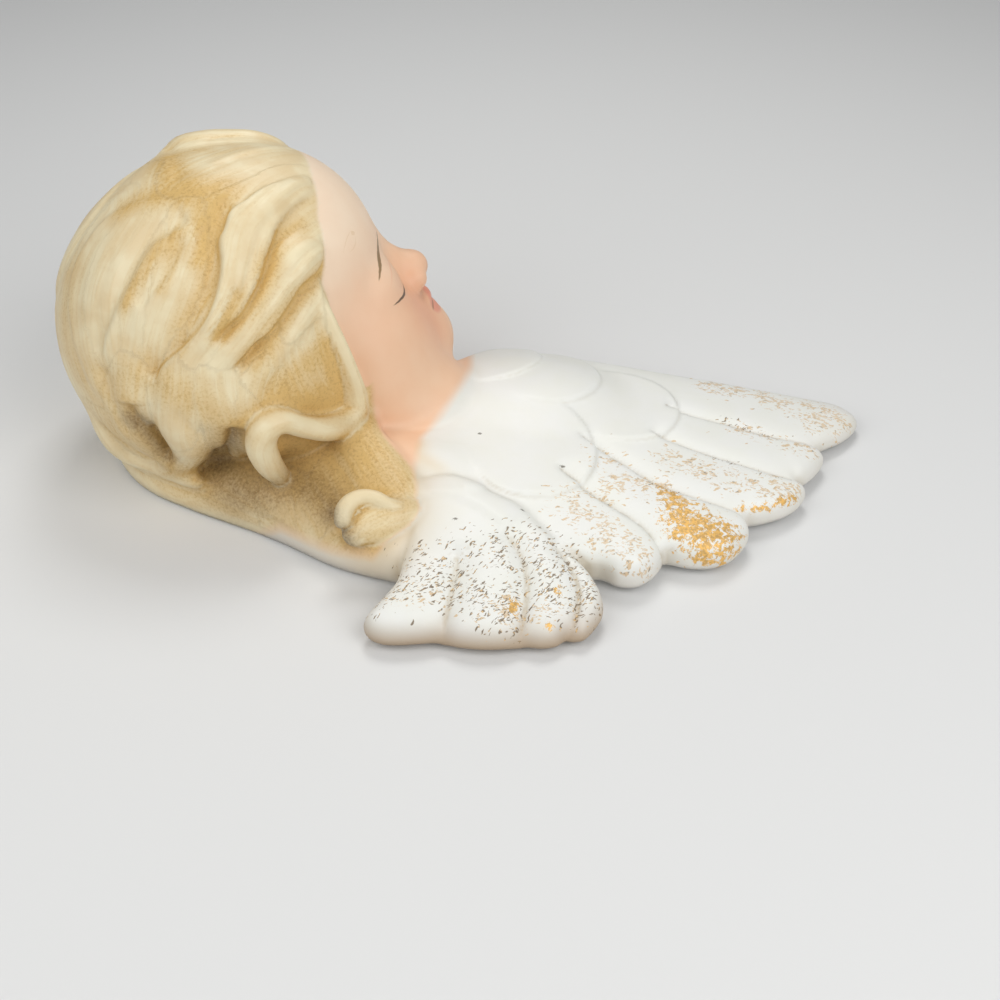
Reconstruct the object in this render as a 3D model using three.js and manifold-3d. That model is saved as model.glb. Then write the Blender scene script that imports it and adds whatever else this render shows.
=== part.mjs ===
// A cherub wall plaque: a sleeping child's head resting on two unequal wings, cast in one piece.
// It is worked out lying on its back, x along the long wing, y across it and z out from the wall.
// At the end it is turned to hang: the wall is the plane y = 0 and the figure faces the -y side.
import * as THREE from 'three';
import { mergeVertices } from 'three/addons/utils/BufferGeometryUtils.js';
import Module from 'manifold-3d';

const wasm = await Module();
wasm.setup();

// Driving sizes, millimetres
const headHeight = 65; // chin to crown
const farWingLength = 79; // shoulder to the tip of its longest feather
const nearWingLength = 37; // shoulder to the tip of its longest feather
const shoulderDepth = 15; // how far the shoulders stand off the wall
const featherThickness = 8.8; // at a feather's root and at a covert's middle
const tipHeight = 3.4; // middle of a feather's tip off the wall
const nailHoleDiameter = 4;
const nailHoleDepth = 12;

// Pose, degrees
const hangTurn = 65; // from lying to hung, about the line out from the wall
const headBearing = 19.6; // where the face looks, seen square to the wall
const headBow = 28; // how far the face still looks out from the wall
const headRoll = -4.5; // sideways lean of the crown

const rad = THREE.MathUtils.degToRad;
const v = (x, y, z) => new THREE.Vector3(x, y, z);
const wallOut = v(0, 0, 1);

// The head has three axes: out of the face, to the figure's right and up through the crown
const face = v(
  Math.cos(rad(headBow)) * Math.cos(rad(headBearing)),
  Math.cos(rad(headBow)) * Math.sin(rad(headBearing)),
  Math.sin(rad(headBow)),
);
const crown = wallOut.clone().projectOnPlane(face).normalize().applyAxisAngle(face, rad(headRoll));
const right = v(0, 0, 0).crossVectors(crown, face).negate();
const headAxes = [face, right.clone().negate(), crown]; // a right-handed set for round forms
const headUnit = headHeight / 65; // head forms are written for a head 65 tall
const headCentre = v(-23.6, 13.4, 27).multiplyScalar(headUnit);

const headPoint = (n, r, u) =>
  headCentre.clone().addScaledVector(face, n * headUnit)
    .addScaledVector(right, r * headUnit)
    .addScaledVector(crown, u * headUnit);

// Turns a three.js geometry into a solid
function solid(geometry) {
  geometry.deleteAttribute('normal');
  geometry.deleteAttribute('uv');
  const merged = mergeVertices(geometry, 1e-5);
  return new wasm.Manifold(new wasm.Mesh({
    numProp: 3,
    vertProperties: new Float32Array(merged.attributes.position.array),
    triVerts: new Uint32Array(merged.index.array),
  }));
}

// An ellipsoid with its three radii along three square axes
function pebble(centre, radii, axes, sides = 16, rings = 10) {
  const geometry = new THREE.SphereGeometry(1, sides, rings);
  const place = new THREE.Matrix4().makeBasis(...axes).scale(v(...radii)).setPosition(centre);
  return solid(geometry.applyMatrix4(place));
}

// Reads a list of values at a share of its length
function along(values, share) {
  const spot = THREE.MathUtils.clamp(share, 0, 1) * (values.length - 1);
  const low = Math.min(Math.floor(spot), values.length - 2);
  return THREE.MathUtils.lerp(values[low], values[low + 1], spot - low);
}

// A strand: a sphere drawn out along a smooth curve, with its own width and height along it.
// ups are the directions in which the strand stands proud, one for each point of the curve.
function strand(points, widths, heights, ups, sides, steps, capRings = 2) {
  const rings = steps + 2 * capRings;
  const curve = new THREE.CatmullRomCurve3(points, false, 'catmullrom', 0.5);
  const geometry = new THREE.SphereGeometry(1, sides, rings);
  const position = geometry.attributes.position;
  for (let ring = 0; ring <= rings; ring += 1) {
    const share = THREE.MathUtils.clamp((ring - capRings) / steps, 0, 1);
    const capTurn = (Math.PI / 2) * Math.min(ring, rings - ring, capRings) / capRings;
    const width = along(widths, share);
    const height = along(heights, share);
    const tangent = curve.getTangent(share);
    const reach = width * Math.cos(capTurn) * (ring < rings / 2 ? -1 : 1);
    const middle = curve.getPoint(share).addScaledVector(tangent, reach);
    const up = v(...['x', 'y', 'z'].map((axis) => along(ups.map((one) => one[axis]), share)));
    up.projectOnPlane(tangent).normalize();
    const side = v(0, 0, 0).crossVectors(up, tangent);
    for (let column = 0; column <= sides; column += 1) {
      const turn = (2 * Math.PI * (column % sides)) / sides;
      const scale = Math.sin(capTurn);
      const spot = middle.clone()
        .addScaledVector(side, -Math.cos(turn) * width * scale)
        .addScaledVector(up, Math.sin(turn) * height * scale);
      position.setXYZ(ring * (sides + 1) + column, spot.x, spot.y, spot.z);
    }
  }
  return solid(geometry);
}

// Hair: each lock is a path over the skull, [azimuth, latitude, lift] with azimuth from the middle
// of the face towards the figure's right and lift above the skull in millimetres of a full-size head
const hairRadius = 28.6;
function overSkull([azimuth, latitude, lift = 0]) {
  const reach = hairRadius + lift;
  const ring = reach * Math.cos(rad(latitude));
  return headPoint(
    ring * Math.cos(rad(azimuth)),
    ring * Math.sin(rad(azimuth)),
    reach * Math.sin(rad(latitude)),
  );
}

function lock({ path, width, height, steps = 8, sides = 8 }) {
  const points = path.map(overSkull);
  const ups = points.map((point) => point.clone().sub(headCentre).normalize());
  const grown = (values) => values.map((value) => value * headUnit);
  return strand(points, grown(width), grown(height), ups, sides, steps);
}

const browWave = [
  {
    path: [[-19, 23, 1], [-21, 30, 4], [-29, 39, 5], [-38, 47, 4], [-42, 56, 2], [-36, 68]],
    width: [3, 4.6, 5.5, 6, 6, 4],
    height: [2.4, 3.8, 4.4, 4, 3.4, 2.4],
  },
  {
    path: [[-8, 21, 1.5], [-6, 29, 4], [0, 38, 4], [4, 47, 2.6], [4, 58, 1.2], [-6, 70], [-30, 79]],
    width: [3, 4.8, 5.2, 5.4, 5.4, 5.4, 4],
    height: [2.2, 3.6, 4, 3.6, 3.2, 3, 2],
  },
];

const sideWaves = [
  {
    path: [[6, 25, 2.6], [15, 35, 2.6], [36, 43.5, 1.4], [58, 40.5, 0.6], [84, 33, 0.2], [98, 26], [110, 14]],
    width: [2.6, 5, 5.2, 5.2, 5.6, 5.4, 3.4],
    height: [2.4, 4, 4, 3.8, 3.4, 2.8, 2],
    steps: 12,
  },
  {
    path: [[31, 20, 1.8], [42, 28, 1.6], [61, 29, 0.8], [82, 23, 0.2], [92, 16], [101, 6]],
    width: [2.4, 4.8, 4.6, 4.6, 4.6, 3],
    height: [2.2, 3.9, 3.8, 3.4, 3, 2],
  },
  {
    path: [[10, 47], [28, 54, 0.2], [66, 52, 0.4], [94, 42, 0.2], [108, 36], [120, 24]],
    width: [3.5, 4.5, 5.4, 5.6, 5.4, 3.6],
    height: [2.6, 3.5, 3.7, 3.5, 3, 2.2],
  },
  {
    path: [[0, 62], [34, 67, 0.2], [84, 60, 0.4], [116, 45, 0.2], [128, 34], [134, 20]],
    width: [3.5, 5, 6, 6, 5.4, 4],
    height: [2.6, 3.5, 3.7, 3.5, 3, 2.2],
  },
  {
    path: [[-30, 80], [60, 80], [110, 73, 0.2], [143, 52, 0.3], [146, 30], [143, 8]],
    width: [4, 6, 6.6, 6.6, 5.6, 3.6],
    height: [2.2, 3.2, 3.4, 3.4, 3, 2.2],
  },
];

// The lock round the ear has a raised rim that turns up into a free tip
const earLock = [
  {
    path: [
      [40, 11], [47, 15, 1.4], [52, -4, 2], [53.5, -22, 2.2], [53.5, -42, 2.4], [60, -47.5, 2.4],
      [77, -28, 3], [86, -11, 3.6], [95, -8, 4.4], [100, -18, 5.2], [104, -32, 6.8],
    ],
    width: [2.2, 2.8, 3, 3, 3.2, 3.2, 3, 3, 3.4, 3.2, 2.5],
    height: [2.8, 3.8, 4.2, 4.2, 4.2, 4, 3.6, 3.4, 3, 2.8, 2.4],
    steps: 22,
    sides: 7,
  },
  { path: [[52, 14], [64, 4], [67, -14], [62, -34]], width: [5, 9, 9, 6], height: [2, 2.6, 2.6, 2.2] },
];

const lowerLocks = [
  { path: [[60, -40], [80, -42], [98, -46], [116, -46]], width: [5, 7, 7, 5], height: [4, 4.4, 4, 3] },
  { path: [[62, -56], [84, -60], [110, -58]], width: [6, 7, 5], height: [5, 5, 4] },
  { path: [[80, 14], [94, 3, 0.4], [101, -12, 0.8], [104, -26]], width: [3, 4.8, 4.6, 3], height: [2.2, 3, 3, 2] },
  { path: [[108, 22], [112, 6], [112, -12], [110, -28]], width: [3.4, 4.4, 3.6, 2.4], height: [2, 2.6, 2.4, 1.8] },
  { path: [[132, 30], [140, 10], [138, -10], [124, -30]], width: [4, 5.4, 5, 3], height: [2, 2.6, 2.4, 1.8] },
  { path: [[152, 32], [156, 8], [150, -18], [136, -33]], width: [4, 5, 4.4, 2.8], height: [2, 2.4, 2.2, 1.6] },
];

// The far side of the head lies towards the wall and is carved in broader locks
const farSide = [...lowerLocks.slice(2), ...sideWaves.slice(0, 4)].map(({ path, width, height }) => ({
  width,
  height,
  steps: 7,
  sides: 6,
  path: path.map(([azimuth, latitude, lift]) => [-azimuth - 14, latitude, lift]),
}));
const farTemple = { path: [[-46, 16], [-52, 0, 1], [-58, -18, 0.6], [-70, -34]], width: [3, 5, 5.4, 3.4], height: [2, 3, 2.8, 2] };

// Nape lock: it comes down over the shoulder and curls back to a hooked tip
const napeCurl = {
  path: [[7, -6, 16], [10, -13, 16], [14, -20, 14.5], [15, -25, 13], [12, -29.5, 11.5], [7.5, -31, 11]],
  width: [4, 5, 5, 4.4, 3.6, 2.4],
  height: [4, 4.4, 4.2, 3.8, 3.2, 2.4],
};
const napeHook = {
  path: [[14, -27, 15], [9.5, -27.8, 15.6], [5.5, -27.6, 15.2], [2.8, -27.8, 13.8], [2, -28.8, 12]],
  width: [1.8, 2.2, 2.4, 2.4, 2],
  height: [1.8, 2.1, 2.3, 2.3, 2],
};
const napeLean = v(0, -0.45, 0.9); // the way these two stand proud
const napeStrand = ({ path, width, height }) =>
  strand(path.map((spot) => v(...spot).multiplyScalar(headUnit)), width, height, path.map(() => napeLean), 8, 8);

function makeHair() {
  const cap = pebble(headPoint(-2.5, 0, 2), [26.6, 27.4, 27].map((one) => one * headUnit), headAxes, 16, 10);
  const locks = [...browWave, ...sideWaves, ...earLock, ...lowerLocks, ...farSide, farTemple].map(lock);
  return [cap, ...locks, napeStrand(napeCurl), napeStrand(napeHook)];
}

// Face: round forehead and cheeks, small nose, closed lids and a small mouth
function makeFace() {
  const form = (n, r, u, radii, sides = 10, rings = 7) =>
    pebble(headPoint(n, r, u), radii.map((one) => one * headUnit), headAxes, sides, rings);
  const noseLine = [headPoint(30, 0, -2), headPoint(32, 0, -8), headPoint(33.8, 0, -13)];
  const nose = strand(noseLine, [2.4, 2.7, 3.4], [3, 3.6, 4], noseLine.map(() => face), 8, 3);
  const bothSides = [1, -1].flatMap((hand) => [
    form(18.5, 9.5 * hand, -15, [13.5, 12.5, 13], 14, 9),
    form(27.5, 10 * hand, -7.5, [5.6, 6.4, 4.6]),
    form(34.4, 3.2 * hand, -15, [2.8, 2, 2.1], 8, 6),
  ]);
  return [
    form(1.5, 0, 0.5, [30, 26.6, 28], 18, 12),
    form(8.5, 0, 4.5, [26, 24, 23.5], 18, 12),
    form(25, 0, -22, [11, 12, 11.5], 14, 9),
    form(29.5, 0, -27, [7.5, 7.5, 6.5]),
    form(33.2, 0, -20.4, [3.2, 4.8, 1.7], 10, 6),
    form(32.8, 0, -23, [3, 4, 1.7], 10, 6),
    nose,
    ...bothSides,
  ];
}

// Wings: feathers fan out from a shoulder and scale-like coverts lie over their roots. Places in the
// plane of the wall, reaches and widths are shares of the wing's length, and heights off the wall
// are shares of the shoulder depth. Bearings are in degrees from the x axis, and bend is how far a
// feather's middle bows sideways as a share of its reach.
const farWing = {
  length: farWingLength,
  shoulder: [22, 12],
  rise: 0.57,
  feathers: [
    { bearing: 0.5, reach: 1, width: 0.106, bend: 0.085 },
    { bearing: -11.5, reach: 0.895, width: 0.08, bend: 0.02 },
    { bearing: -21.5, reach: 0.87, width: 0.084, bend: -0.03 },
    { bearing: -37.5, reach: 0.79, width: 0.094, bend: 0 },
    { bearing: -53.5, reach: 0.7, width: 0.086, bend: -0.06 },
  ],
  coverts: [
    { place: [0.42, -0.025, 0.61], size: [0.19, 0.127], turn: -6, lean: [0.1, -0.1] },
    { place: [0.25, 0.013, 0.74], size: [0.158, 0.114], turn: -6, lean: [0.1, -0.1] },
    { place: [0.215, -0.228, 0.69], size: [0.177, 0.14], turn: -22, lean: [0.1, -0.2] },
    { place: [0.09, 0.038, 0.84], size: [0.127, 0.114], turn: 0, lean: [0.1, -0.1] },
    { place: [0.14, 0.152, 0.71], size: [0.14, 0.1], turn: -8, lean: [0.1, 0.15] },
    { place: [0.38, 0.089, 0.61], size: [0.177, 0.1], turn: -6, lean: [0.1, 0.1] },
    { place: [0.013, -0.2, 0.8], size: [0.14, 0.127], turn: 0, lean: [0, -0.2] },
  ],
};
const nearWing = {
  length: nearWingLength,
  shoulder: [26, -13],
  rise: 0.63,
  feathers: [
    { bearing: -118, reach: 1, width: 0.15, bend: 0.07 },
    { bearing: -90, reach: 0.91, width: 0.19, bend: 0 },
    { bearing: -70, reach: 0.94, width: 0.16, bend: 0 },
    { bearing: -56, reach: 0.96, width: 0.13, bend: 0.05 },
  ],
  coverts: [
    { place: [0.22, -0.16, 0.64], size: [0.257, 0.216], turn: -40, lean: [0.15, -0.45] },
    { place: [-0.12, -0.216, 0.69], size: [0.297, 0.23], turn: -6, lean: [-0.05, -0.5] },
    { place: [-0.16, 0.027, 0.84], size: [0.27, 0.135], turn: -6, lean: [0, -0.3] },
  ],
};
const featherStops = [0.12, 0.4, 0.66, 0.86, 0.965]; // shares of the reach where these two are given
const featherSwell = [0.9, 1, 1, 0.92, 0.5]; // width there
const featherBody = [1, 0.93, 0.82, 0.7, 0.46]; // thickness there

function feather({ length, shoulder, rise }, { bearing, reach, width, bend }) {
  const out = v(Math.cos(rad(bearing)), Math.sin(rad(bearing)), 0);
  const aside = v(-out.y, out.x, 0);
  const points = featherStops.map((share) => {
    const spot = v(...shoulder, 0).addScaledVector(out, length * reach * share);
    spot.addScaledVector(aside, length * reach * bend * Math.sin(Math.PI * share));
    spot.z = THREE.MathUtils.lerp(rise * shoulderDepth, tipHeight, share ** 1.3);
    return spot;
  });
  const widths = featherSwell.map((swell) => swell * width * length);
  const halves = featherBody.map((share) => (share * featherThickness) / 2);
  return strand(points, widths, halves, points.map(() => wallOut), 8, 6, 3);
}

function covert({ length, shoulder }, { place: [x, y, z], size: [long, wide], turn, lean }) {
  const up = v(...lean, 1).normalize();
  const lie = v(Math.cos(rad(turn)), Math.sin(rad(turn)), 0).projectOnPlane(up).normalize();
  const centre = v(shoulder[0] + x * length, shoulder[1] + y * length, z * shoulderDepth);
  const radii = [long * length, wide * length, featherThickness / 2];
  return pebble(centre, radii, [lie, v(0, 0, 0).crossVectors(up, lie), up], 14, 6);
}

const makeWing = (wing) => [
  ...wing.feathers.map((one) => feather(wing, one)),
  ...wing.coverts.map((one) => covert(wing, one)),
];

// Shoulders, nape and neck, with the flat back that lies on the wall
function makeBody() {
  const flatAxes = [v(1, 0, 0), v(0, 1, 0), wallOut];
  const napeLie = v(1, -0.55, 0).normalize();
  const napeAxes = [napeLie, v(0, 0, 0).crossVectors(wallOut, napeLie), wallOut];
  const neckLine = [headPoint(9, 2, -11), v(4, 10, shoulderDepth), v(14, 10, 0.55 * shoulderDepth)];
  return [
    pebble(v(28, 12, 0), [27, 23, shoulderDepth], flatAxes, 16, 8),
    pebble(v(14, -10, 0), [22, 16, 0.9 * shoulderDepth], flatAxes, 16, 8),
    pebble(v(-8, -1, 0), [27, 16, 1.05 * shoulderDepth], napeAxes, 16, 8),
    pebble(v(-20, 6, 0), [25, 17, 0.8 * shoulderDepth], napeAxes, 16, 8),
    strand(neckLine, [14, 13.5, 13], [13, 12.5, 12], neckLine.map(() => wallOut), 14, 4),
  ];
}

// Voids shut in between the locks are skins that face inwards, with a volume below nothing
const fillVoids = (made) =>
  made.decompose().filter((skin) => skin.volume() > 0).reduce((whole, skin) => whole.add(skin));

function makePlaque() {
  const roomy = 400;
  const inFront = new THREE.BoxGeometry(roomy, roomy, roomy).translate(0, 0, roomy / 2);
  const sunk = 1; // the drill starts this far outside the back
  const drill = new THREE.CylinderGeometry(nailHoleDiameter / 2, nailHoleDiameter / 2, nailHoleDepth + sunk, 16)
    .rotateX(Math.PI / 2)
    .translate(headCentre.x, headCentre.y, (nailHoleDepth - sunk) / 2);
  const forms = [...makeBody(), ...makeWing(farWing), ...makeWing(nearWing), ...makeFace(), ...makeHair()];
  const cast = forms.reduce((whole, form) => whole.add(form));
  return fillVoids(cast.intersect(solid(inFront))).subtract(solid(drill));
}

function meshOf(made) {
  const { vertProperties, triVerts } = made.getMesh();
  const geometry = new THREE.BufferGeometry();
  geometry.setAttribute('position', new THREE.BufferAttribute(new Float32Array(vertProperties), 3));
  geometry.setIndex(new THREE.BufferAttribute(new Uint32Array(triVerts), 1));
  geometry.computeVertexNormals();
  return geometry;
}

const bisque = new THREE.MeshStandardMaterial({ color: 0xe9dcc4, roughness: 0.55, metalness: 0 });
const plaque = new THREE.Mesh(meshOf(makePlaque()), bisque);
plaque.name = 'cherub_plaque';

// From lying to hung: x stays across the wall, y becomes up and z comes out towards the viewer
const hung = new THREE.Group();
hung.rotation.x = Math.PI / 2;
plaque.rotation.z = -rad(hangTurn);
hung.add(plaque);

export default hung;
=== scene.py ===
# Cherub wall plaque: a sleeping child's head on a long and a short wing, cast and painted bisque
import math
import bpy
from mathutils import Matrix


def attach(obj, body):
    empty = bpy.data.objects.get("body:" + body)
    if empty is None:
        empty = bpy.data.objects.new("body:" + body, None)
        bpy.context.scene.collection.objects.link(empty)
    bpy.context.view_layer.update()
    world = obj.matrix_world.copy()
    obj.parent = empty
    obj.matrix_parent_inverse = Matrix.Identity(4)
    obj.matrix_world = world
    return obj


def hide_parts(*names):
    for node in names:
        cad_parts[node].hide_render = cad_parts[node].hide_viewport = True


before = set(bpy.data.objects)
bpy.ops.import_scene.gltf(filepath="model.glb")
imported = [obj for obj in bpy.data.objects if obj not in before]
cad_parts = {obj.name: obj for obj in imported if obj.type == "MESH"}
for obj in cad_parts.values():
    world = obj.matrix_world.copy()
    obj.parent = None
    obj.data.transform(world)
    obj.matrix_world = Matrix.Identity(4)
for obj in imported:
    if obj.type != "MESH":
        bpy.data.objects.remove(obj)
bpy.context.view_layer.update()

from concurrent.futures import ThreadPoolExecutor

import bpy
import numpy as np
import openvdb
from mathutils import Matrix, Vector

# The plaque is worked out lying on its back in mm: x along the long wing, y across it,
# z out from the wall. hangTurn then stands it up the way it hangs.
pose = {
    "hangTurn": 65,
    "headBearing": 19.6,     # where the face looks, seen square to the wall
    "headBow": 28,           # how far the face still looks out from the wall
    "headRoll": -4.5,
    "headCentre": (-23.6, 13.4, 27),
    "hairRadius": 28.8,      # where the middles of the locks run
    "drawnAbove": 2.6,       # how far above that creases and paint are drawn
}
overHead = pose["hairRadius"] + pose["drawnAbove"]


def unit(v):
    v = np.asarray(v, float)
    return v / np.linalg.norm(v)


def toHung(points):
    turn = math.radians(pose["hangTurn"])
    x, y, z = np.asarray(points, float).T
    across = x * math.cos(turn) + y * math.sin(turn)
    up = y * math.cos(turn) - x * math.sin(turn)
    return np.stack([across, -z, up], -1) * 0.001


bow, bearing, roll = (math.radians(pose[k]) for k in ("headBow", "headBearing", "headRoll"))
faceOut = np.array([math.cos(bow) * math.cos(bearing), math.cos(bow) * math.sin(bearing), math.sin(bow)])
crownUp = unit(np.array([0, 0, 1.0]) - faceOut[2] * faceOut)
crownUp = crownUp * math.cos(roll) + np.cross(faceOut, crownUp) * math.sin(roll)
rightOut = np.cross(faceOut, crownUp)        # the figure's right
headCentre = np.array(pose["headCentre"], float)
headAxes = np.array([faceOut, rightOut, crownUp])
wallOut = np.array([0, 0, 1.0])


def headPoint(n, r, u):
    return headCentre + n * faceOut + r * rightOut + u * crownUp


def overSkull(azimuth, latitude, lift=0.0):
    a, l = math.radians(azimuth), math.radians(latitude)
    reach = pose["hairRadius"] + lift
    return headPoint(reach * math.cos(l) * math.cos(a), reach * math.cos(l) * math.sin(a),
                     reach * math.sin(l))


# Sculpting: every form is a distance in mm, and forms melt into each other over their blend width
def smoothCurve(knots, count):
    knots = np.asarray(knots, float)
    last = len(knots) - 1
    t = np.linspace(0, last, count)
    i = np.clip(t.astype(int), 0, last - 1)
    f = (t - i)[:, None]
    k = np.vstack([2 * knots[0] - knots[1], knots, 2 * knots[-1] - knots[-2]])
    a, b, c, d = k[i], k[i + 1], k[i + 2], k[i + 3]
    bend, twist = 2 * a - 5 * b + 4 * c - d, 3 * b - a - 3 * c + d
    return 0.5 * (2 * b + (c - a) * f + bend * f ** 2 + twist * f ** 3)


def ballForm(centre, radii, axes=np.eye(3), blend=2.0):
    centre, radii, axes = (np.asarray(v, float) for v in (centre, radii, axes))
    reach = np.sqrt(((axes.T * radii) ** 2).sum(1))

    def distance(points):
        local = (points - centre) @ axes.T
        near = np.sqrt(((local / radii) ** 2).sum(1))
        slope = np.sqrt(((local / radii ** 2) ** 2).sum(1))
        return near * (near - 1) / np.maximum(slope, 1e-9)

    return {"low": centre - reach, "high": centre + reach, "blend": blend, "distance": distance}


def strandForm(knots, widths, heights, ups, blend=1.0, lines=0, cut=0.3, phase=0.0):
    count = 6 * len(knots) + 12
    path = smoothCurve(knots, count)
    share = smoothCurve(np.c_[widths, heights, ups], count)
    width, height = np.maximum(share[:, 0], 0.3), np.maximum(share[:, 1], 0.3)
    tangent = np.gradient(path, axis=0)
    tangent /= np.linalg.norm(tangent, axis=1)[:, None]
    up = share[:, 2:] - (share[:, 2:] * tangent).sum(1)[:, None] * tangent
    up /= np.linalg.norm(up, axis=1)[:, None]
    side = np.cross(tangent, up)
    step = np.linalg.norm(np.diff(path, axis=0), axis=1).mean()
    reach = np.maximum(width, height)[:, None]
    table = np.c_[path, width, height, side, up, tangent]

    def across(points):
        gap = (points ** 2).sum(1)[:, None] - 2 * points @ path.T + (path ** 2).sum(1)
        j = gap.argmin(1)
        u = np.clip(j + ((points - path[j]) * tangent[j]).sum(1) / step, 0, count - 1.001)
        i = u.astype(int)
        f = (u - i)[:, None]
        row = table[i] * (1 - f) + table[i + 1] * f
        local = points - row[:, :3]
        x, y, l = ((local * row[:, k:k + 3]).sum(1) for k in (5, 8, 11))
        return u, x, y, l, row[:, 3], row[:, 4]

    def distance(points):
        u, x, y, l, w, h = across(points)
        near = np.sqrt((x / w) ** 2 + (y / h) ** 2 + (l / w) ** 2)
        slope = np.sqrt((x / w ** 2) ** 2 + (y / h ** 2) ** 2 + (l / w ** 2) ** 2)
        away = near * (near - 1) / np.maximum(slope, 1e-9)
        if lines:
            swing = 0.05 * np.sin(u * 0.4 + phase)
            wave = 0.5 + 0.5 * np.cos(2 * np.pi * (lines * (x / w + swing) * 0.5 + phase))
            fade = np.clip(np.minimum(u, count - 1 - u) / 4, 0, 1)
            away = away + cut * wave ** 2 * fade
        return away

    def comb(points):
        u, x, y, l, w, h = across(points)
        return np.sqrt((x / w) ** 2 + (y / h) ** 2 + (l / w) ** 2), x, u * step

    return {"low": (path - reach).min(0), "high": (path + reach).max(0), "blend": blend,
            "distance": distance, "comb": comb}


def melt(a, b, k):
    h = np.clip(0.5 + 0.5 * (b - a) / k, 0, 1)
    return b + (a - b) * h - k * h * (1 - h)


nailHole = {"radius": 2, "depth": 12}    # mm, in the flat back under the middle of the head


def fieldChunk(points, groups, reach, parts):
    low, high = points.min(0), points.max(0)
    total, found = np.full(len(points), 60.0), []
    for group in groups:
        own = np.full(len(points), 60.0)
        for form in group["forms"]:
            margin = reach + form["blend"]
            if (form["low"] - margin > high).any() or (form["high"] + margin < low).any():
                continue
            inside = ((points > form["low"] - margin) & (points < form["high"] + margin)).all(1)
            here = np.nonzero(inside)[0]
            if len(here):
                own[here] = melt(own[here], form["distance"](points[here]), form["blend"])
        if group["name"] == "hair":
            away = np.linalg.norm(points - headCentre, axis=1)
            scalp = np.maximum(found[1] - hairline["thickness"], away - hairline["reach"])
            own = melt(own, scalp, 1.0)
        if group["relief"]:
            here = np.nonzero(own < reach + 3)[0]
            if len(here):
                own[here] -= group["relief"](points[here])
        found.append(own)
        total = melt(total, own, group["blend"])
    total = np.maximum(total, -points[:, 2])
    bore = np.hypot(points[:, 0] - headCentre[0], points[:, 1] - headCentre[1]) - nailHole["radius"]
    total = np.maximum(total, -np.maximum(bore, points[:, 2] - nailHole["depth"]))
    return [total] + (found if parts else [])


def fieldAt(points, groups, reach=3.0, parts=False):
    chunks = [points[i:i + 30000] for i in range(0, len(points), 30000)]
    with ThreadPoolExecutor(4) as pool:
        done = list(pool.map(lambda chunk: fieldChunk(chunk, groups, reach, parts), chunks))
    joined = [np.concatenate(column) for column in zip(*done)]
    return joined if parts else joined[0]


# Creases: drawn lines with a height on each side that fades away from the line
def drawnLine(path, outward, smooth=True):
    if smooth:
        path = smoothCurve(path, 10 * len(path))
    tangent = np.gradient(path, axis=0)
    step = np.linalg.norm(tangent, axis=1).mean()
    tangent /= np.linalg.norm(tangent, axis=1)[:, None]
    return path, tangent, np.cross(np.broadcast_to(outward, path.shape), tangent), step


def onWall(path):
    return np.c_[np.array(path, float), np.zeros(len(path))]


def lineLift(spots, lines, soft):
    total = np.zeros(len(spots))
    for path, tangent, side, step, low, high in lines:
        widest = 3.2 * max(low[1], high[1])
        inside = ((spots > path.min(0) - widest) & (spots < path.max(0) + widest)).all(1)
        near = np.nonzero(inside)[0]
        if not len(near):
            continue
        here = spots[near]
        j = ((path ** 2).sum(1) - 2 * here @ path.T).argmin(1)
        gap = here - path[j]
        along = (gap * tangent[j]).sum(1)
        across = (gap * side[j]).sum(1)
        u = j + along / step
        ends = np.clip(np.minimum(u, len(path) - 1 - u) / 6, 0, 1)
        ends = ends * ends * (3 - 2 * ends)
        share = 1 / (1 + np.exp(-np.clip(across / soft * 2, -30, 30)))
        lift = low[0] * share * np.exp(-np.clip(across, 0, None) / low[1])
        lift += high[0] * (1 - share) * np.exp(-np.clip(-across, 0, None) / high[1])
        total[near] += lift * ends
    return total


# Low scales over the roots of the feathers: each is a disc in the plane of the wall that stands
# proud at its free edge and runs out towards its root, like a roof tile
coverts = {
    "step": 0.85,            # how far a free edge stands proud
    "edge": 0.28,            # half the width over which the edge falls away
    "tiles": [               # middle and radii in mm, turn and which way the root lies in degrees
        {"at": (53, 9), "size": (12.2, 12), "turn": 0, "root": 175},
        {"at": (36, -7.5), "size": (12, 13.6), "turn": 0, "root": 140},
        {"at": (39, 15.5), "size": (11, 11.5), "turn": 0, "root": 175},
        {"at": (27, 21.5), "size": (11.4, 11), "turn": 0, "root": 190},
    ],
    "onlyAbove": 5.0,        # the scales fade out towards the back
}


# Two more tile edges on the near shoulder, drawn as lines
shoulderArcs = [
    {"path": [(11, -29), (13, -26.5), (16.5, -23.4), (19.4, -23.2), (22, -23.6), (25.7, -25.7),
              (29.2, -28.5), (31.7, -30.8)],
     "low": (0.7, 6), "high": (-0.1, 1.6)},
    {"path": [(23.4, -22.6), (25.6, -21.4), (28.2, -20.6)], "low": (0.4, 4), "high": (-0.1, 1.5)},
]


def wingRelief(points):
    arcs = lineLift(points * (1, 1, 0), arcLines, 0.7)
    return scaleStep(points) + arcs * np.clip((points[:, 2] - coverts["onlyAbove"]) / 2, 0, 1)


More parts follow.
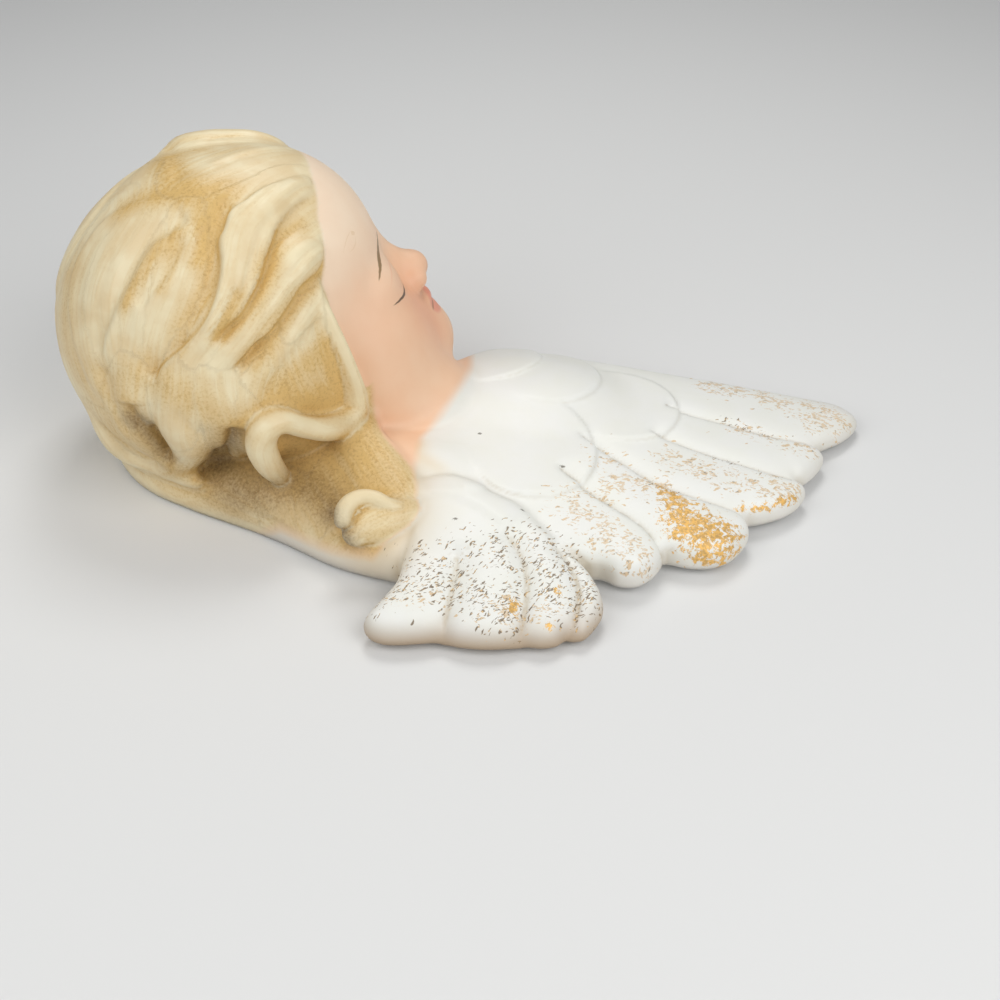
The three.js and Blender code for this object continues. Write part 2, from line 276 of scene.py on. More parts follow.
def scaleStep(points):
    lift = np.zeros(len(points))
    step, edge = coverts["step"], coverts["edge"]
    for tile in coverts["tiles"]:
        turn = math.radians(tile["turn"])
        dx, dy = points[:, 0] - tile["at"][0], points[:, 1] - tile["at"][1]
        a = (dx * math.cos(turn) + dy * math.sin(turn)) / tile["size"][0]
        b = (dy * math.cos(turn) - dx * math.sin(turn)) / tile["size"][1]
        outside = (np.hypot(a, b) - 1) * min(tile["size"])
        back = math.radians(tile["root"])
        ramp = np.clip(0.45 - 0.75 * (dx * math.cos(back) + dy * math.sin(back)) / max(tile["size"]), 0, 1)
        height = step * ramp
        mask = 1 / (1 + np.exp(np.clip(outside / edge * 2.2, -30, 30)))
        lift = lift * (1 - mask) + height * mask
    return lift * np.clip((points[:, 2] - coverts["onlyAbove"]) / 2, 0, 1)


arcLines = [(*drawnLine(onWall(arc["path"]), wallOut), arc["low"], arc["high"]) for arc in shoulderArcs]


# Head: a round forehead, full cheeks, a small nose and mouth and closed lids
def faceForms():
    def form(n, r, u, radii, blend):
        return ballForm(headPoint(n, r, u), radii, headAxes, blend)

    nose = [headPoint(30.2, 0, -2), headPoint(32.4, 0, -8), headPoint(34.6, 0, -12.6)]
    forms = [
        form(1.5, 0, 0.5, (30, 27, 28.5), 4),
        form(8.5, 0, 4.5, (26.6, 24.6, 24), 5),
        form(25, 0, -22, (10.5, 11.5, 11), 6),
        form(29.6, 0, -27.5, (6.6, 7.2, 5.8), 4),
        strandForm(nose, (2.3, 2.6, 3.4), (2.6, 3.0, 3.2), [faceOut] * 3, 3.2),
        form(36.4, 0, -13.4, (2.9, 3.2, 2.8), 1.8),
        form(33.0, 0, -19.9, (3.4, 5.0, 1.55), 1.0),
        form(32.6, 0, -22.9, (3.2, 4.2, 1.7), 1.0),
    ]
    for hand in (1, -1):
        forms += [
            form(18.5, 10.5 * hand, -15, (13.8, 13, 13.4), 7),
            form(27.2, 9.8 * hand, -7.2, (5.8, 7.0, 5.2), 2.6),
            form(35.0, 3.4 * hand, -14.6, (2.6, 1.9, 2.1), 1.2),
        ]
    return forms


# Hair: each lock is a path over the skull as (azimuth from the face towards the figure's right,
# latitude, lift in mm), with half widths and half heights along it
frontLocks = [
    {"path": [(-14, 23, 1.8), (-17, 31, 3.2), (-21, 38, 3.4), (-27, 46, 2.8), (-33, 54, 2.6),
              (-40, 59, 2.2), (-48, 63, 0), (-58, 67, -2)],
     "width": (3.4, 5, 5.6, 5.8, 5.8, 5.4, 4.4, 3), "height": (2.8, 3.6, 4, 4, 3.9, 3.6, 3, 2)},
    {"path": [(-10, 21, 1.4), (-8, 29, 2.6), (0, 40, 2.4), (10, 50, 1.6), (22, 59, 0.8), (41, 66, 0)],
     "width": (3, 4.8, 5.2, 5.4, 5, 4), "height": (2.6, 3.4, 3.6, 3.4, 3, 2)},
    {"path": [(11, 24, 2.9), (19, 31, 2.9), (30, 36, 2.1), (41, 38, 1.4), (52, 38, 1), (62, 34, 0.6),
              (73, 29, 0.4), (87, 24, 0.2), (98, 20, 0)],
     "width": (2.8, 4, 4.9, 5.2, 5, 4.6, 4.2, 3.8, 2.6), "height": (2.8, 3.8, 4, 3.9, 3.7, 3.4, 3.2, 2.8, 2)},
    {"path": [(36, 18, 2.1), (43, 20, 2.2), (50, 21, 1.6), (57, 21, 1), (64, 20, 0.7), (71, 19, 0.4),
              (80, 17, 0.2), (92, 14, 0)],
     "width": (2.6, 3.8, 4.4, 4.2, 4, 3.8, 3.4, 2.4), "height": (2.6, 3.6, 3.8, 3.6, 3.3, 3.1, 2.8, 2)},
]
sideLocks = [
    {"path": [(45, 9, 0.4), (54, 9, 0.8), (62, 8, 0.7), (70, 6, 0.5), (79, 5, 0.3), (88, 4, 0.2), (98, 3, 0)],
     "width": (3, 4, 4.4, 4.6, 4.6, 4.2, 3), "height": (2.8, 3.3, 3.3, 3.2, 3.1, 2.8, 2)},
    {"path": [(44, 54, 0), (58, 53, 0.3), (71, 50, 0.4), (81, 46, 0.4), (91, 41, 0.4), (100, 36, 0.3),
              (108, 30, 0.1), (116, 22, 0)],
     "width": (4, 5, 5.2, 5.4, 5.6, 5.6, 5.4, 4), "height": (2.8, 3.4, 3.6, 3.6, 3.6, 3.4, 3, 2.2)},
    {"path": [(50, 62, 0), (75, 57, 0.2), (90, 52, 0.3), (104, 43, 0.3), (114, 34, 0.1), (123, 24, 0)],
     "width": (4.5, 5.4, 5.4, 5.4, 5.4, 4), "height": (2.8, 3.3, 3.4, 3.4, 3, 2.2)},
    {"path": [(20, 74, 0), (60, 71, 0.2), (97, 66, 0.4), (116, 59, 0.4), (126, 48, 0.4), (130, 36, 0.2),
              (133, 24, 0)],
     "width": (5, 6, 6, 6, 6, 5.6, 4), "height": (2.6, 3.2, 3.4, 3.5, 3.4, 3, 2.2)},
    {"path": [(-60, 84, 0), (90, 82, 0), (140, 72, 0.2), (149, 54, 0.3), (148, 36, 0.2), (146, 18, 0),
              (146, 4, 0)],
     "width": (5, 6, 6, 6, 6, 5, 3.6), "height": (2.4, 3.1, 3.2, 3.2, 3.2, 3, 2.2)},
]
# where the locks end low at the back of the head, with dark gaps between them
lowLocks = [
    {"path": [(96, 26, 0), (106, 14, 0.4), (116, 2, 0.6), (121, -8, 0.6), (122, -20, 0)],
     "width": (4, 5, 5, 4.4, 2.6), "height": (2.4, 3.4, 3.6, 3.2, 2)},
    {"path": [(90, 18, 0), (97, 8, 0.6), (101, -4, 1), (106, -14, 1), (112, -26, 0.4)],
     "width": (4, 4.6, 4.4, 3.8, 2.4), "height": (2.4, 3.4, 3.6, 3.2, 2)},
    {"path": [(84, 6, 0), (92, -4, 1), (97, -16, 1.4), (100, -27, 1), (104, -36, 0)],
     "width": (3.6, 4.2, 4, 3.4, 2.2), "height": (2.4, 3.2, 3.4, 3, 2)},
    {"path": [(122, 26, 0), (130, 14, 0.4), (136, 2, 0.4), (138, -12, 0.2), (132, -24, 0)],
     "width": (4, 5, 4.6, 4, 2.6), "height": (2.4, 3.2, 3.2, 3, 2)},
    {"path": [(143, 20, 0), (149, 4, 0), (152, -12, 0), (148, -26, 0), (139, -36, 0), (124, -40, 0)],
     "width": (4, 4.6, 4.2, 3.8, 3, 2.4), "height": (2, 2.6, 2.6, 2.6, 2.4, 2)},
    {"path": [(60, -40, 0), (80, -42, 0), (98, -46, 0), (116, -46, 0)], "width": (5, 7, 7, 5),
     "height": (4, 4.4, 4, 3)},
    {"path": [(168, 12, -0.8), (164, 2, 1.1), (161, -6, 2.6), (160, -14, 3.1), (154, -21, 2.9),
              (144, -26, 3.3), (134, -28, 4.2), (122, -31, 5.4)],
     "width": (2.4, 3, 3, 3, 3, 3, 3, 2.2), "height": (2, 2.4, 2.4, 2.4, 2.4, 2.2, 2.2, 1.8)},
    {"path": [(108, -1, 1.4), (119, -9, 1.4), (128, -15, 1.6), (136, -20, 2.0), (144, -23, 2.4)],
     "width": (3, 3.6, 3.4, 3, 2.4), "height": (2, 2.6, 2.6, 2.4, 2)},
    {"path": [(62, -56, 0), (84, -60, 0), (110, -58, 0)], "width": (6, 7, 5), "height": (5, 5, 4)},
]
# the lock in front of the ear is a scoop with a pale rolled rim that ends in a free hook
earScoops = [
    {"path": [(52, 10, 0), (61, 2, 0), (66, -12, 0.2), (66, -28, 0.8), (70, -38, 1)],
     "width": (5, 8, 9, 8, 6), "height": (2.4, 2.4, 2.6, 2.8, 3)},
    {"path": [(66, 2, 0), (77, -5, 0), (85, -12, 0.2), (92, -20, 0.4)], "width": (6, 7, 6, 4),
     "height": (2.4, 2.6, 2.6, 2.4)},
    {"path": [(70, -44, 1.6), (84, -34, 1.4), (94, -26, 1.2)], "width": (6, 6, 4), "height": (3.4, 3.4, 2.4)},
]
earRim = {"path": [(47, 10, 0.6), (52, 1, 1.6), (55, -8, 2.4), (57, -16, 3), (59, -25, 3.8),
                   (62.5, -31, 4.6), (69, -31.5, 5.2), (76, -26.5, 5.4), (81.5, -19, 5.2), (85, -12.5, 5),
                   (88.5, -10.5, 5), (92.5, -11.5, 5.2), (95.5, -15, 5.6), (97.5, -21.5, 6.2),
                   (98.5, -28.5, 6.6)],
          "width": (0.9, 1.1, 1.3, 1.5, 1.8, 2.3, 2.4, 2.2, 1.9, 2.1, 2.5, 2.8, 2.8, 2.5, 2.0),
          "height": (2.0, 2.4, 2.5, 2.6, 2.7, 2.8, 2.8, 2.6, 2.4, 2.5, 2.7, 2.8, 2.7, 2.5, 2.0)}
farTemple = {"path": [(-46, 16, 0), (-52, 0, 1), (-58, -18, 0.6), (-70, -34, 0)], "width": (3, 5, 5.4, 3.4),
             "height": (2, 3, 2.8, 2)}

# Where the hair ends on the skin, from low on the far side over the brow to low on the near side
hairline = {
    "path": [(-68, -60), (-66, -40), (-63, -20), (-60, -4), (-55, 9), (-45, 19), (-30, 26), (-12, 28.5),
             (3, 28.5), (13, 27.5), (19, 25.5), (24, 23.8), (29, 22), (33, 18.5), (37, 15.5), (41, 12.5),
             (46, 9.5), (49.5, 4), (51.5, -4), (52.4, -11), (53.6, -18), (55.6, -25.5), (58.5, -32),
             (63, -38), (67, -50), (71, -62)],
    "drop": 5,
    "soft": 0.4,
    "thickness": 1.5,        # of the hair where it lies flat on the head
    "reach": 33,             # how far from the middle of the head this flat hair goes
}

# Creases between the locks, as paths over the skull. Each side is (height in mm, how far it fades):
# "low" is the side below or right of the path seen from the figure's right, "high" the other one
creases = [
    {"path": [(8, 25), (13, 29), (18, 33), (25, 37.5), (31, 41), (37, 43), (44, 45), (51, 46)],
     "low": (0.5, 1.6), "high": (-1.3, 1.2)},
    {"path": [(38, 47), (46, 46), (54, 44), (60, 43), (66, 38), (72, 34), (79, 30), (86, 27), (94, 25),
              (101, 24), (109, 22), (114, 18)],
     "low": (0.5, 2.4), "high": (-1.7, 2.8)},
    {"path": [(16, 28), (21, 32), (27, 36), (34, 39), (42, 41), (50, 41.5), (57, 40)], "low": (0.1, 1),
     "high": (-0.6, 0.5)},
    {"path": [(9, 20), (19, 23), (26, 27), (33, 30), (41, 31), (48, 30), (55, 28), (60, 26), (67, 24),
              (74, 22), (80, 22), (88, 21)],
     "low": (-1.7, 1.8), "high": (0.5, 2.4)},
    {"path": [(31, 17), (31, 21), (35, 25), (41, 27), (48, 28), (54, 26)], "low": (0.4, 1.5),
     "high": (-0.3, 0.8)},
    {"path": [(33, 14), (39, 14), (46, 14), (53, 15), (59, 14), (65, 13), (71, 12), (76, 12), (82, 11),
              (90, 10)],
     "low": (-1.5, 1.9), "high": (0.5, 2.4)},
    {"path": [(69, 30), (74, 28), (79, 26), (84, 24), (89, 23)], "low": (-0.8, 1.4), "high": (0.2, 1.5)},
    {"path": [(58, 54), (65, 56), (73, 57.5), (82, 59), (93, 57), (102, 54), (112, 49), (121, 43),
              (129, 37), (135, 30)],
     "low": (0.7, 3), "high": (-1.4, 2.6), "soft": True},
    {"path": [(66, 52), (75, 50), (83, 47.5), (90, 45.5), (98, 44), (106, 41)], "low": (0.3, 2),
     "high": (-1.2, 1.8), "soft": True},
    {"path": [(55, 50), (63, 49), (70, 47), (75, 44)], "low": (-0.5, 1), "high": (0.3, 1)},
    {"path": [(36, 50), (42, 54), (46, 61), (49, 68), (56, 74), (74, 79.5), (110, 82), (146, 79), (158, 72),
              (163, 63), (160, 55), (157, 49), (152, 41), (149, 32), (146, 22), (144, 14)], "low": (0.3, 2.4),
              "high": (-0.8, 1.4), "soft": True},
    {"path": [(-48, 62), (-36, 66), (-10, 69), (20, 69), (40, 66)], "low": (-0.9, 2.4), "high": (0.3, 2),
     "soft": True},
    {"path": [(-14, 27), (-17, 32), (-19, 37), (-24, 43), (-28, 48), (-31, 51), (-37, 56), (-42, 60)],
     "low": (0, 1), "high": (-0.55, 0.5)},
    {"path": [(-13, 25), (-14, 30), (-15, 37), (-17, 44), (-19, 51), (-20, 58)], "low": (-0.55, 0.6),
     "high": (0, 1)},
    {"path": [(-11, 26), (1, 38), (12, 47), (23, 52), (34, 56)], "low": (-0.3, 0.5), "high": (0.1, 1)},
    {"path": [(-12, 22), (-5, 32), (4, 43), (13, 52), (20, 58)], "low": (-0.5, 0.5), "high": (0.1, 1)},
    {"path": [(54, 5), (60, 4), (67, 3), (73, 2), (80, 0), (87, -4)], "low": (-1.0, 3), "high": (0.2, 2.5),
     "soft": True},
    {"path": [(52, -2), (53.5, -13), (54, -22), (55.5, -31), (61, -36.5), (70, -32), (78, -23), (84, -15)],
     "low": (0.3, 1), "high": (-0.7, 2)},
    {"path": [(137, 30), (137, 20), (138, 10), (140, 0)], "low": (-1.4, 2.2), "high": (0, 1), "soft": True},
    {"path": [(130, 16), (131, 10), (131, 1), (132, -7), (134, -16)], "low": (-2.4, 2.4),
     "high": (-1.6, 1.6), "soft": True},
    {"path": [(99, -5), (104, -11), (110, -17), (117, -22), (124, -26), (131, -29)], "low": (-2.8, 2.8),
     "high": (-1.4, 1.2), "soft": True},
    {"path": [(113, 10), (112, 0), (110, -8)], "low": (-0.5, 1.6), "high": (-0.3, 1.6), "soft": True},
    {"path": [(168, -6), (162, -14), (153, -20), (144, -24), (134, -27), (124, -29), (112, -30)],
     "low": (-0.7, 1.0), "high": (-0.5, 0.8)},
    {"path": [(158, 6), (154, -4), (150, -12), (144, -19)], "low": (-0.6, 1.2), "high": (-0.3, 1.0)},
]
# the far side has the same locks, plainer: an azimuth a of the near side becomes farTurn - a
farTurn = -14
creases += [{"path": [(farTurn - a, l) for a, l in crease["path"][::-1]], "low": crease["low"],
             "high": crease["high"], "soft": True}
            for crease in creases[1:11]]


def lockForm(lock, number, mirror=False, blend=1.6, lines=0, sink=0.0, cut=0.2):
    path = [(farTurn - a, l, lift) for a, l, lift in lock["path"]] if mirror else lock["path"]
    path = [(a, l, lift - sink * min(1, (abs(a) + 2 * max(0, l - 45)) / 100)) for a, l, lift in path]
    knots = [overSkull(*spot) for spot in path]
    ups = [unit(knot - headCentre) for knot in knots]
    return strandForm(knots, lock["width"], lock["height"], ups, blend, lines, cut, number * 0.37)


def hairForms():
    forms = [ballForm(headPoint(0.6, 0, 0.8), (29.6, 28.4, 28.6), headAxes, 1.0)]
    forms += [lockForm(lock, i, blend=1.0, lines=3, cut=0.26) for i, lock in enumerate(frontLocks)]
    forms += [lockForm(lock, i + 2, blend=2.0, lines=2, sink=2.2) for i, lock in enumerate(sideLocks)]
    forms += [lockForm(lock, i + 5, blend=2.0, sink=1.4) for i, lock in enumerate(lowLocks)]
    forms += [lockForm(lock, i, blend=2.2) for i, lock in enumerate(earScoops)]
    far = sideLocks + lowLocks[:4]
    forms += [lockForm(lock, i, mirror=True, blend=2.4, lines=2, sink=2.2) for i, lock in enumerate(far)]
    forms.append(lockForm(farTemple, 3))
    return forms


def lineOverSkull(spots):
    path = np.array([overSkull(*spot) - headCentre for spot in spots])
    path = smoothCurve(path, 8 * len(path))
    path /= np.linalg.norm(path, axis=1)[:, None]
    return drawnLine(path * overHead, path, False)


def creaseLines(soft):
    return [(*lineOverSkull(crease["path"]), crease["low"], crease["high"])
            for crease in creases if ("soft" in crease) == soft]


drawnCreases, softCreases = creaseLines(False), creaseLines(True)
drawnHairline = lineOverSkull(hairline["path"])


def hairRelief(points):
    local = points - headCentre
    out = np.linalg.norm(local, axis=1)
    spots = local * (overHead / np.maximum(out, 1e-6))[:, None]
    path, tangent, side, step = drawnHairline
    j = (spots @ path.T).argmax(1)
    across = ((spots - path[j]) * side[j]).sum(1)
    relief = lineLift(spots, drawnCreases, 0.4) + lineLift(spots, softCreases, 1.0)
    relief -= hairline["drop"] / (1 + np.exp(-np.clip(across / hairline["soft"] * 2, -30, 30)))
    return relief * np.clip((out - 22) / 4, 0, 1)


# Nape: a column of hair runs down from under the scoop into a curl with a pale rolled edge
nape = {
    "lean": (0, -0.45, 0.9),
    "column": [(2.6, -5, 15.6), (4.4, -9.6, 14.6), (6.6, -13, 13.4), (8.4, -16.4, 12.4),
               (10.2, -19.8, 11.6), (11.6, -22.8, 11), (12.2, -25.4, 10.6)],
    "columnWidth": (4.4, 4.6, 4.8, 5, 5, 4.4, 3), "columnHeight": (2.6, 2.6, 2.6, 2.6, 2.6, 2.6, 2.2),
    "columnLines": 0,
    "leaf": [(13, -25.6, 11), (9.8, -27, 10.8), (7.2, -28, 10.2), (5, -29, 9.4)],
    "leafWidth": (2.6, 3.6, 3.8, 2.8), "leafHeight": (2, 2.4, 2.2, 1.6), "leafLines": 0,
    "hook": [(13.6, -25.4, 11.6), (12, -26.2, 12.6), (10.2, -26.2, 13.4), (8.2, -25.4, 13.9),
             (5.9, -25.2, 14), (4, -26.1, 13.6), (2.9, -27.5, 12.8), (2.6, -28.8, 11.8)],
    "hookWidth": (0.9, 1.1, 1.2, 1.4, 1.5, 1.7, 1.8, 1.6),
    "hookHeight": (0.9, 1.1, 1.2, 1.4, 1.5, 1.7, 1.8, 1.6), "hookLines": 0,
}


def napeStrand(name, blend):
    ups = [unit(nape["lean"])] * len(nape[name])
    return strandForm(nape[name], nape[name + "Width"], nape[name + "Height"], ups, blend,
                      nape[name + "Lines"], 0.3, 0.3)


def columnForms():
    return [napeStrand("column", 2.5)]


def napeForms():
    return [napeStrand("leaf", 1.5), napeStrand("hook", 0.7)]


# Wings: each is a plate seen from above, thick at its shoulder and thin at its tips, and the feathers
# on it are parted by creases that run out to the notches in its edge
wings = {
    "far": {
        "outline": [(24, 27), (38, 29), (50.6, 27.8), (60.9, 26), (71.2, 24.6), (81.4, 23.1), (91.5, 21.6),
                    (98.6, 20.2), (101.7, 17.6), (102.5, 15), (101.2, 12), (98.4, 8.9), (94.9, 6.5),
                    (92.6, 4.6), (93.2, 1.5), (91.4, -2.1), (89, -5), (86.6, -7), (87.8, -9.4), (86, -12.8),
                    (82.9, -15.5), (79, -17.2), (75.2, -18.6), (75.2, -22.5), (73.6, -25.6), (71.1, -28.4),
                    (67.7, -29.9), (63.8, -29.9), (59.6, -28.8), (58.6, -30.4), (56.9, -32.9),
                    (54.1, -34.9), (50.7, -34.8), (47.7, -33), (43.4, -32.8), (36, -30), (20, -22),
                    (10, 0)],
        "shoulder": (24, 6), "reach": 79, "root": 14.2, "tip": 4.2, "power": 1.05, "round": 2.0, "under": 0.4,
        "fall": 1.5, "fallWidth": 2.6},
    "near": {
        "outline": [(14.7, -17), (17.4, -16), (21, -15.8), (25.5, -17.6), (29.2, -20.2), (33.2, -22.2),
                    (36.2, -25), (38.8, -27.8), (41, -30.2), (43.4, -32.6), (45.8, -35.6), (47.4, -39.4),
                    (47.4, -43.4), (44.8, -47.6), (42.9, -48.4), (41.2, -48.2), (39.3, -49.7),
                    (36.8, -50.2), (34, -49.7), (32, -50.2), (29.3, -50.6), (26.3, -50.6), (23, -50),
                    (20, -48.9), (16.6, -49.3), (13.3, -49.6), (10.3, -49.4), (8, -48.2), (7, -46.2),
                    (8, -44), (10, -41.5), (12, -38.5), (13, -34), (13, -28), (12, -21)],
        "shoulder": (24, -10), "reach": 40, "root": 14.6, "tip": 6.4, "power": 1.4, "round": 3.0,
        "under": 0.3, "fall": 1.3, "fallWidth": 2.2},
}
# where each feather is parted from the next: (height in mm, how far it fades) to its two sides
featherCreases = {
    "far": [
        {"path": [(62, 9.6), (65.7, 8.8), (70.1, 7.4), (74.4, 6.3), (83, 3.8), (89.6, 3.4), (93.4, 3.4)],
         "low": (-1.4, 1.7), "high": (-0.4, 0.5)},
        {"path": [(58, 0.6), (61.9, -0.9), (66.1, -2.9), (70.6, -4.7), (79.8, -7.7), (84.7, -8.4),
                  (88, -8)], "low": (-1.4, 1.8), "high": (-0.4, 0.5)},
        {"path": [(44, -2), (48.6, -5.9), (54.1, -10.6), (58.8, -14.4), (66.6, -17.6), (73.7, -19.5),
                  (76.5, -20)], "low": (-1.7, 2.0), "high": (-0.5, 0.5)},
        {"path": [(40, -12), (43.7, -16.1), (49.1, -20.7), (54.8, -25.4), (57.5, -28.9), (59.2, -31)],
         "low": (-1.5, 2.0), "high": (-0.5, 0.5)},
    ],
    "near": [
        {"path": [(22.4, -33), (22.5, -37.5), (22, -40.6), (21.4, -44), (20.8, -47), (20.4, -50),
                  (20, -55)], "low": (-2.0, 2.6), "high": (-2.0, 2.3)},
        {"path": [(30.4, -29.4), (32.6, -32.6), (34, -35.8), (34.6, -39.4), (34.4, -43.7), (33.7, -47.5),
                  (33.2, -51), (33, -56)], "low": (-1.8, 1.9), "high": (-1.7, 2)},
        {"path": [(38.8, -30.6), (41, -33.6), (42.6, -37), (43.4, -40.4), (43.2, -44), (42.2, -47.5),
                  (41, -50), (40, -54)], "low": (-1.4, 1.4), "high": (-1.5, 1.7)},
    ],
}


def plateForm(name, blend):
    plate = wings[name]
    outline = onWall(plate["outline"])
    loop = np.vstack([outline[-3:], outline, outline[:3]])
    edge = smoothCurve(loop, 14 * len(loop))[2 * 14:-2 * 14]
    tangent = np.gradient(edge, axis=0)
    tangent /= np.linalg.norm(tangent, axis=1)[:, None]
    outward = np.cross(tangent, wallOut)
    middle = outline.mean(0)
    if ((edge - middle) * outward).sum() < 0:
        outward = -outward
    step = np.linalg.norm(np.diff(edge, axis=0), axis=1).mean()
    shoulder = np.array([*plate["shoulder"], 0.0])
    lines = [(*drawnLine(onWall(c["path"]), wallOut), c["low"], c["high"]) for c in featherCreases[name]]

    def distance(points):
        flat = points * (1, 1, 0)
        j = ((edge ** 2).sum(1) - 2 * flat @ edge.T).argmin(1)
        gap = flat - edge[j]
        across = (gap * outward[j]).sum(1)
        along = np.abs((gap * tangent[j]).sum(1))
        rim = np.sign(across) * np.hypot(across, np.maximum(along - step, 0))
        share = np.clip(np.linalg.norm(flat - shoulder, axis=1) / plate["reach"], 0, 1.1) ** plate["power"]
        top = plate["root"] + (plate["tip"] - plate["root"]) * share
        top += lineLift(flat, lines, 0.25) * (0.7 + 0.6 * share)
        top -= plate["fall"] * np.exp(np.minimum(rim, 0) / plate["fallWidth"])
        half = np.maximum(top - plate["under"], 1.2) / 2
        r = np.minimum(plate["round"], half * 0.95)
        a, b = rim + r, np.abs(points[:, 2] - plate["under"] - half) - half + r
        return np.hypot(np.maximum(a, 0), np.maximum(b, 0)) + np.minimum(np.maximum(a, b), 0) - r

    low, high = edge.min(0), edge.max(0)
    high[2] = plate["root"] + 2
    return {"low": low, "high": high, "blend": blend, "distance": distance}


def wingForms():
    return [plateForm("far", 1.6), plateForm("near", 1.0)]


# Shoulders, nape and neck over the flat back
def bodyForms():
    napeLie = unit((1, -0.55, 0))
    napeAxes = [napeLie, np.cross(wallOut, napeLie), wallOut]
    skirt = [(-44.5, 9, 2), (-40, 2.5, 2), (-34, -2.5, 2), (-24, -6.5, 2), (-10, -13, 2.5), (3, -21.5, 3),
             (13, -27, 4)]
    return [
        strandForm(skirt, (2.6, 3.6, 4.6, 6, 7, 7.5, 7), (3.4, 3.6, 4, 5.6, 7, 7, 6), [wallOut] * 7, 4),
        ballForm((32, 10.5, 0), (30, 22.5, 15.4), blend=3),
        ballForm((14, -10, 0), (22, 16, 14), blend=5),
        ballForm((-8, -1, 0), (27, 16, 15.7), napeAxes, 5),
        ballForm((-20, 6, 0), (25, 17, 12), napeAxes, 5),
    ]


def neckForms():
    neck = [headPoint(9, 2, -11), (4, 10, 15), (14, 10, 8.2)]
    return [strandForm(neck, (13, 12.4, 13), (12, 11.6, 12), [wallOut] * 3, 4)]


sculpt = {
    "low": (-62, -54, -2), "high": (108, 50, 66),
    "coarse": 2.4,
    "voxel": 0.62,
}


def plaqueGroups():
    return [
        {"name": "wing", "forms": bodyForms() + wingForms(), "blend": 1, "relief": wingRelief},
        {"name": "skin", "forms": neckForms() + faceForms(), "blend": 2.2, "relief": None},
        {"name": "hair", "forms": hairForms(), "blend": 0.6, "relief": hairRelief},
        {"name": "column", "forms": columnForms(), "blend": 2.2, "relief": None},
        {"name": "curl", "forms": [lockForm(earRim, 0, blend=1)] + napeForms(), "blend": 1.5, "relief": None},
    ]


def sculptMesh(forms):
    low, high = np.array(sculpt["low"], float), np.array(sculpt["high"], float)
    voxel, coarse = sculpt["voxel"], sculpt["coarse"]
    coarseShape = np.ceil((high - low) / coarse).astype(int) + 1
    spots = np.stack(np.meshgrid(*[low[i] + coarse * np.arange(coarseShape[i]) for i in range(3)],
                                 indexing="ij"), -1)
    rough = fieldAt(spots.reshape(-1, 3), forms, reach=8).reshape(coarseShape)
    shape = np.ceil((high - low) / voxel).astype(int) + 1
    nearest = [np.clip(np.round(voxel * np.arange(shape[i]) / coarse).astype(int), 0,
                       coarseShape[i] - 1) for i in range(3)]
    values = rough[np.ix_(*nearest)].ravel()
    band = np.nonzero(np.abs(values) < 1.9 * coarse)[0]
    spots = np.stack(np.unravel_index(band, shape), 1) * voxel + low
    values[band] = fieldAt(spots, forms)
    print("field worked out at", len(band), "points")
    grid = openvdb.FloatGrid(3.0)
    grid.copyFromArray(np.clip(values, -3, 3).reshape(shape).astype(np.float32))
    points, quads = grid.convertToQuads(0.0)
    points = points * voxel + low
    for _ in range(2):
        points = points + towardsSurface(points, forms, 0.4 * voxel)
    return points, quads[:, ::-1]


def slopeAt(points, forms, away, probe=0.05):
    return np.stack([fieldAt(points + probe * np.eye(3)[i], forms) - away for i in range(3)], 1) / probe


def towardsSurface(points, forms, most):
    away = fieldAt(points, forms)
    slope = slopeAt(points, forms, away)
    move = -(away / np.maximum((slope ** 2).sum(1), 0.25))[:, None] * slope
    length = np.linalg.norm(move, axis=1)[:, None]
    return move * np.minimum(1, most / np.maximum(length, 1e-9))


def makePlaque():
    forms = plaqueGroups()
    points, quads = sculptMesh(forms)
    mesh = bpy.data.meshes.new("cherubPlaque")
    mesh.from_pydata(toHung(points).tolist(), [], quads.tolist())
    plaque = bpy.data.objects.new("cherubPlaque", mesh)
    bpy.context.scene.collection.objects.link(plaque)
    print("sculpted", 2 * len(quads), "triangles")
    plaque.data.polygons.foreach_set("use_smooth", [True] * len(plaque.data.polygons))
    return plaque, forms


plaque, forms = makePlaque()


def headSpots(*spots, lift=pose["drawnAbove"]):
    return [tuple(overSkull(a, l, lift)) for a, l in spots]


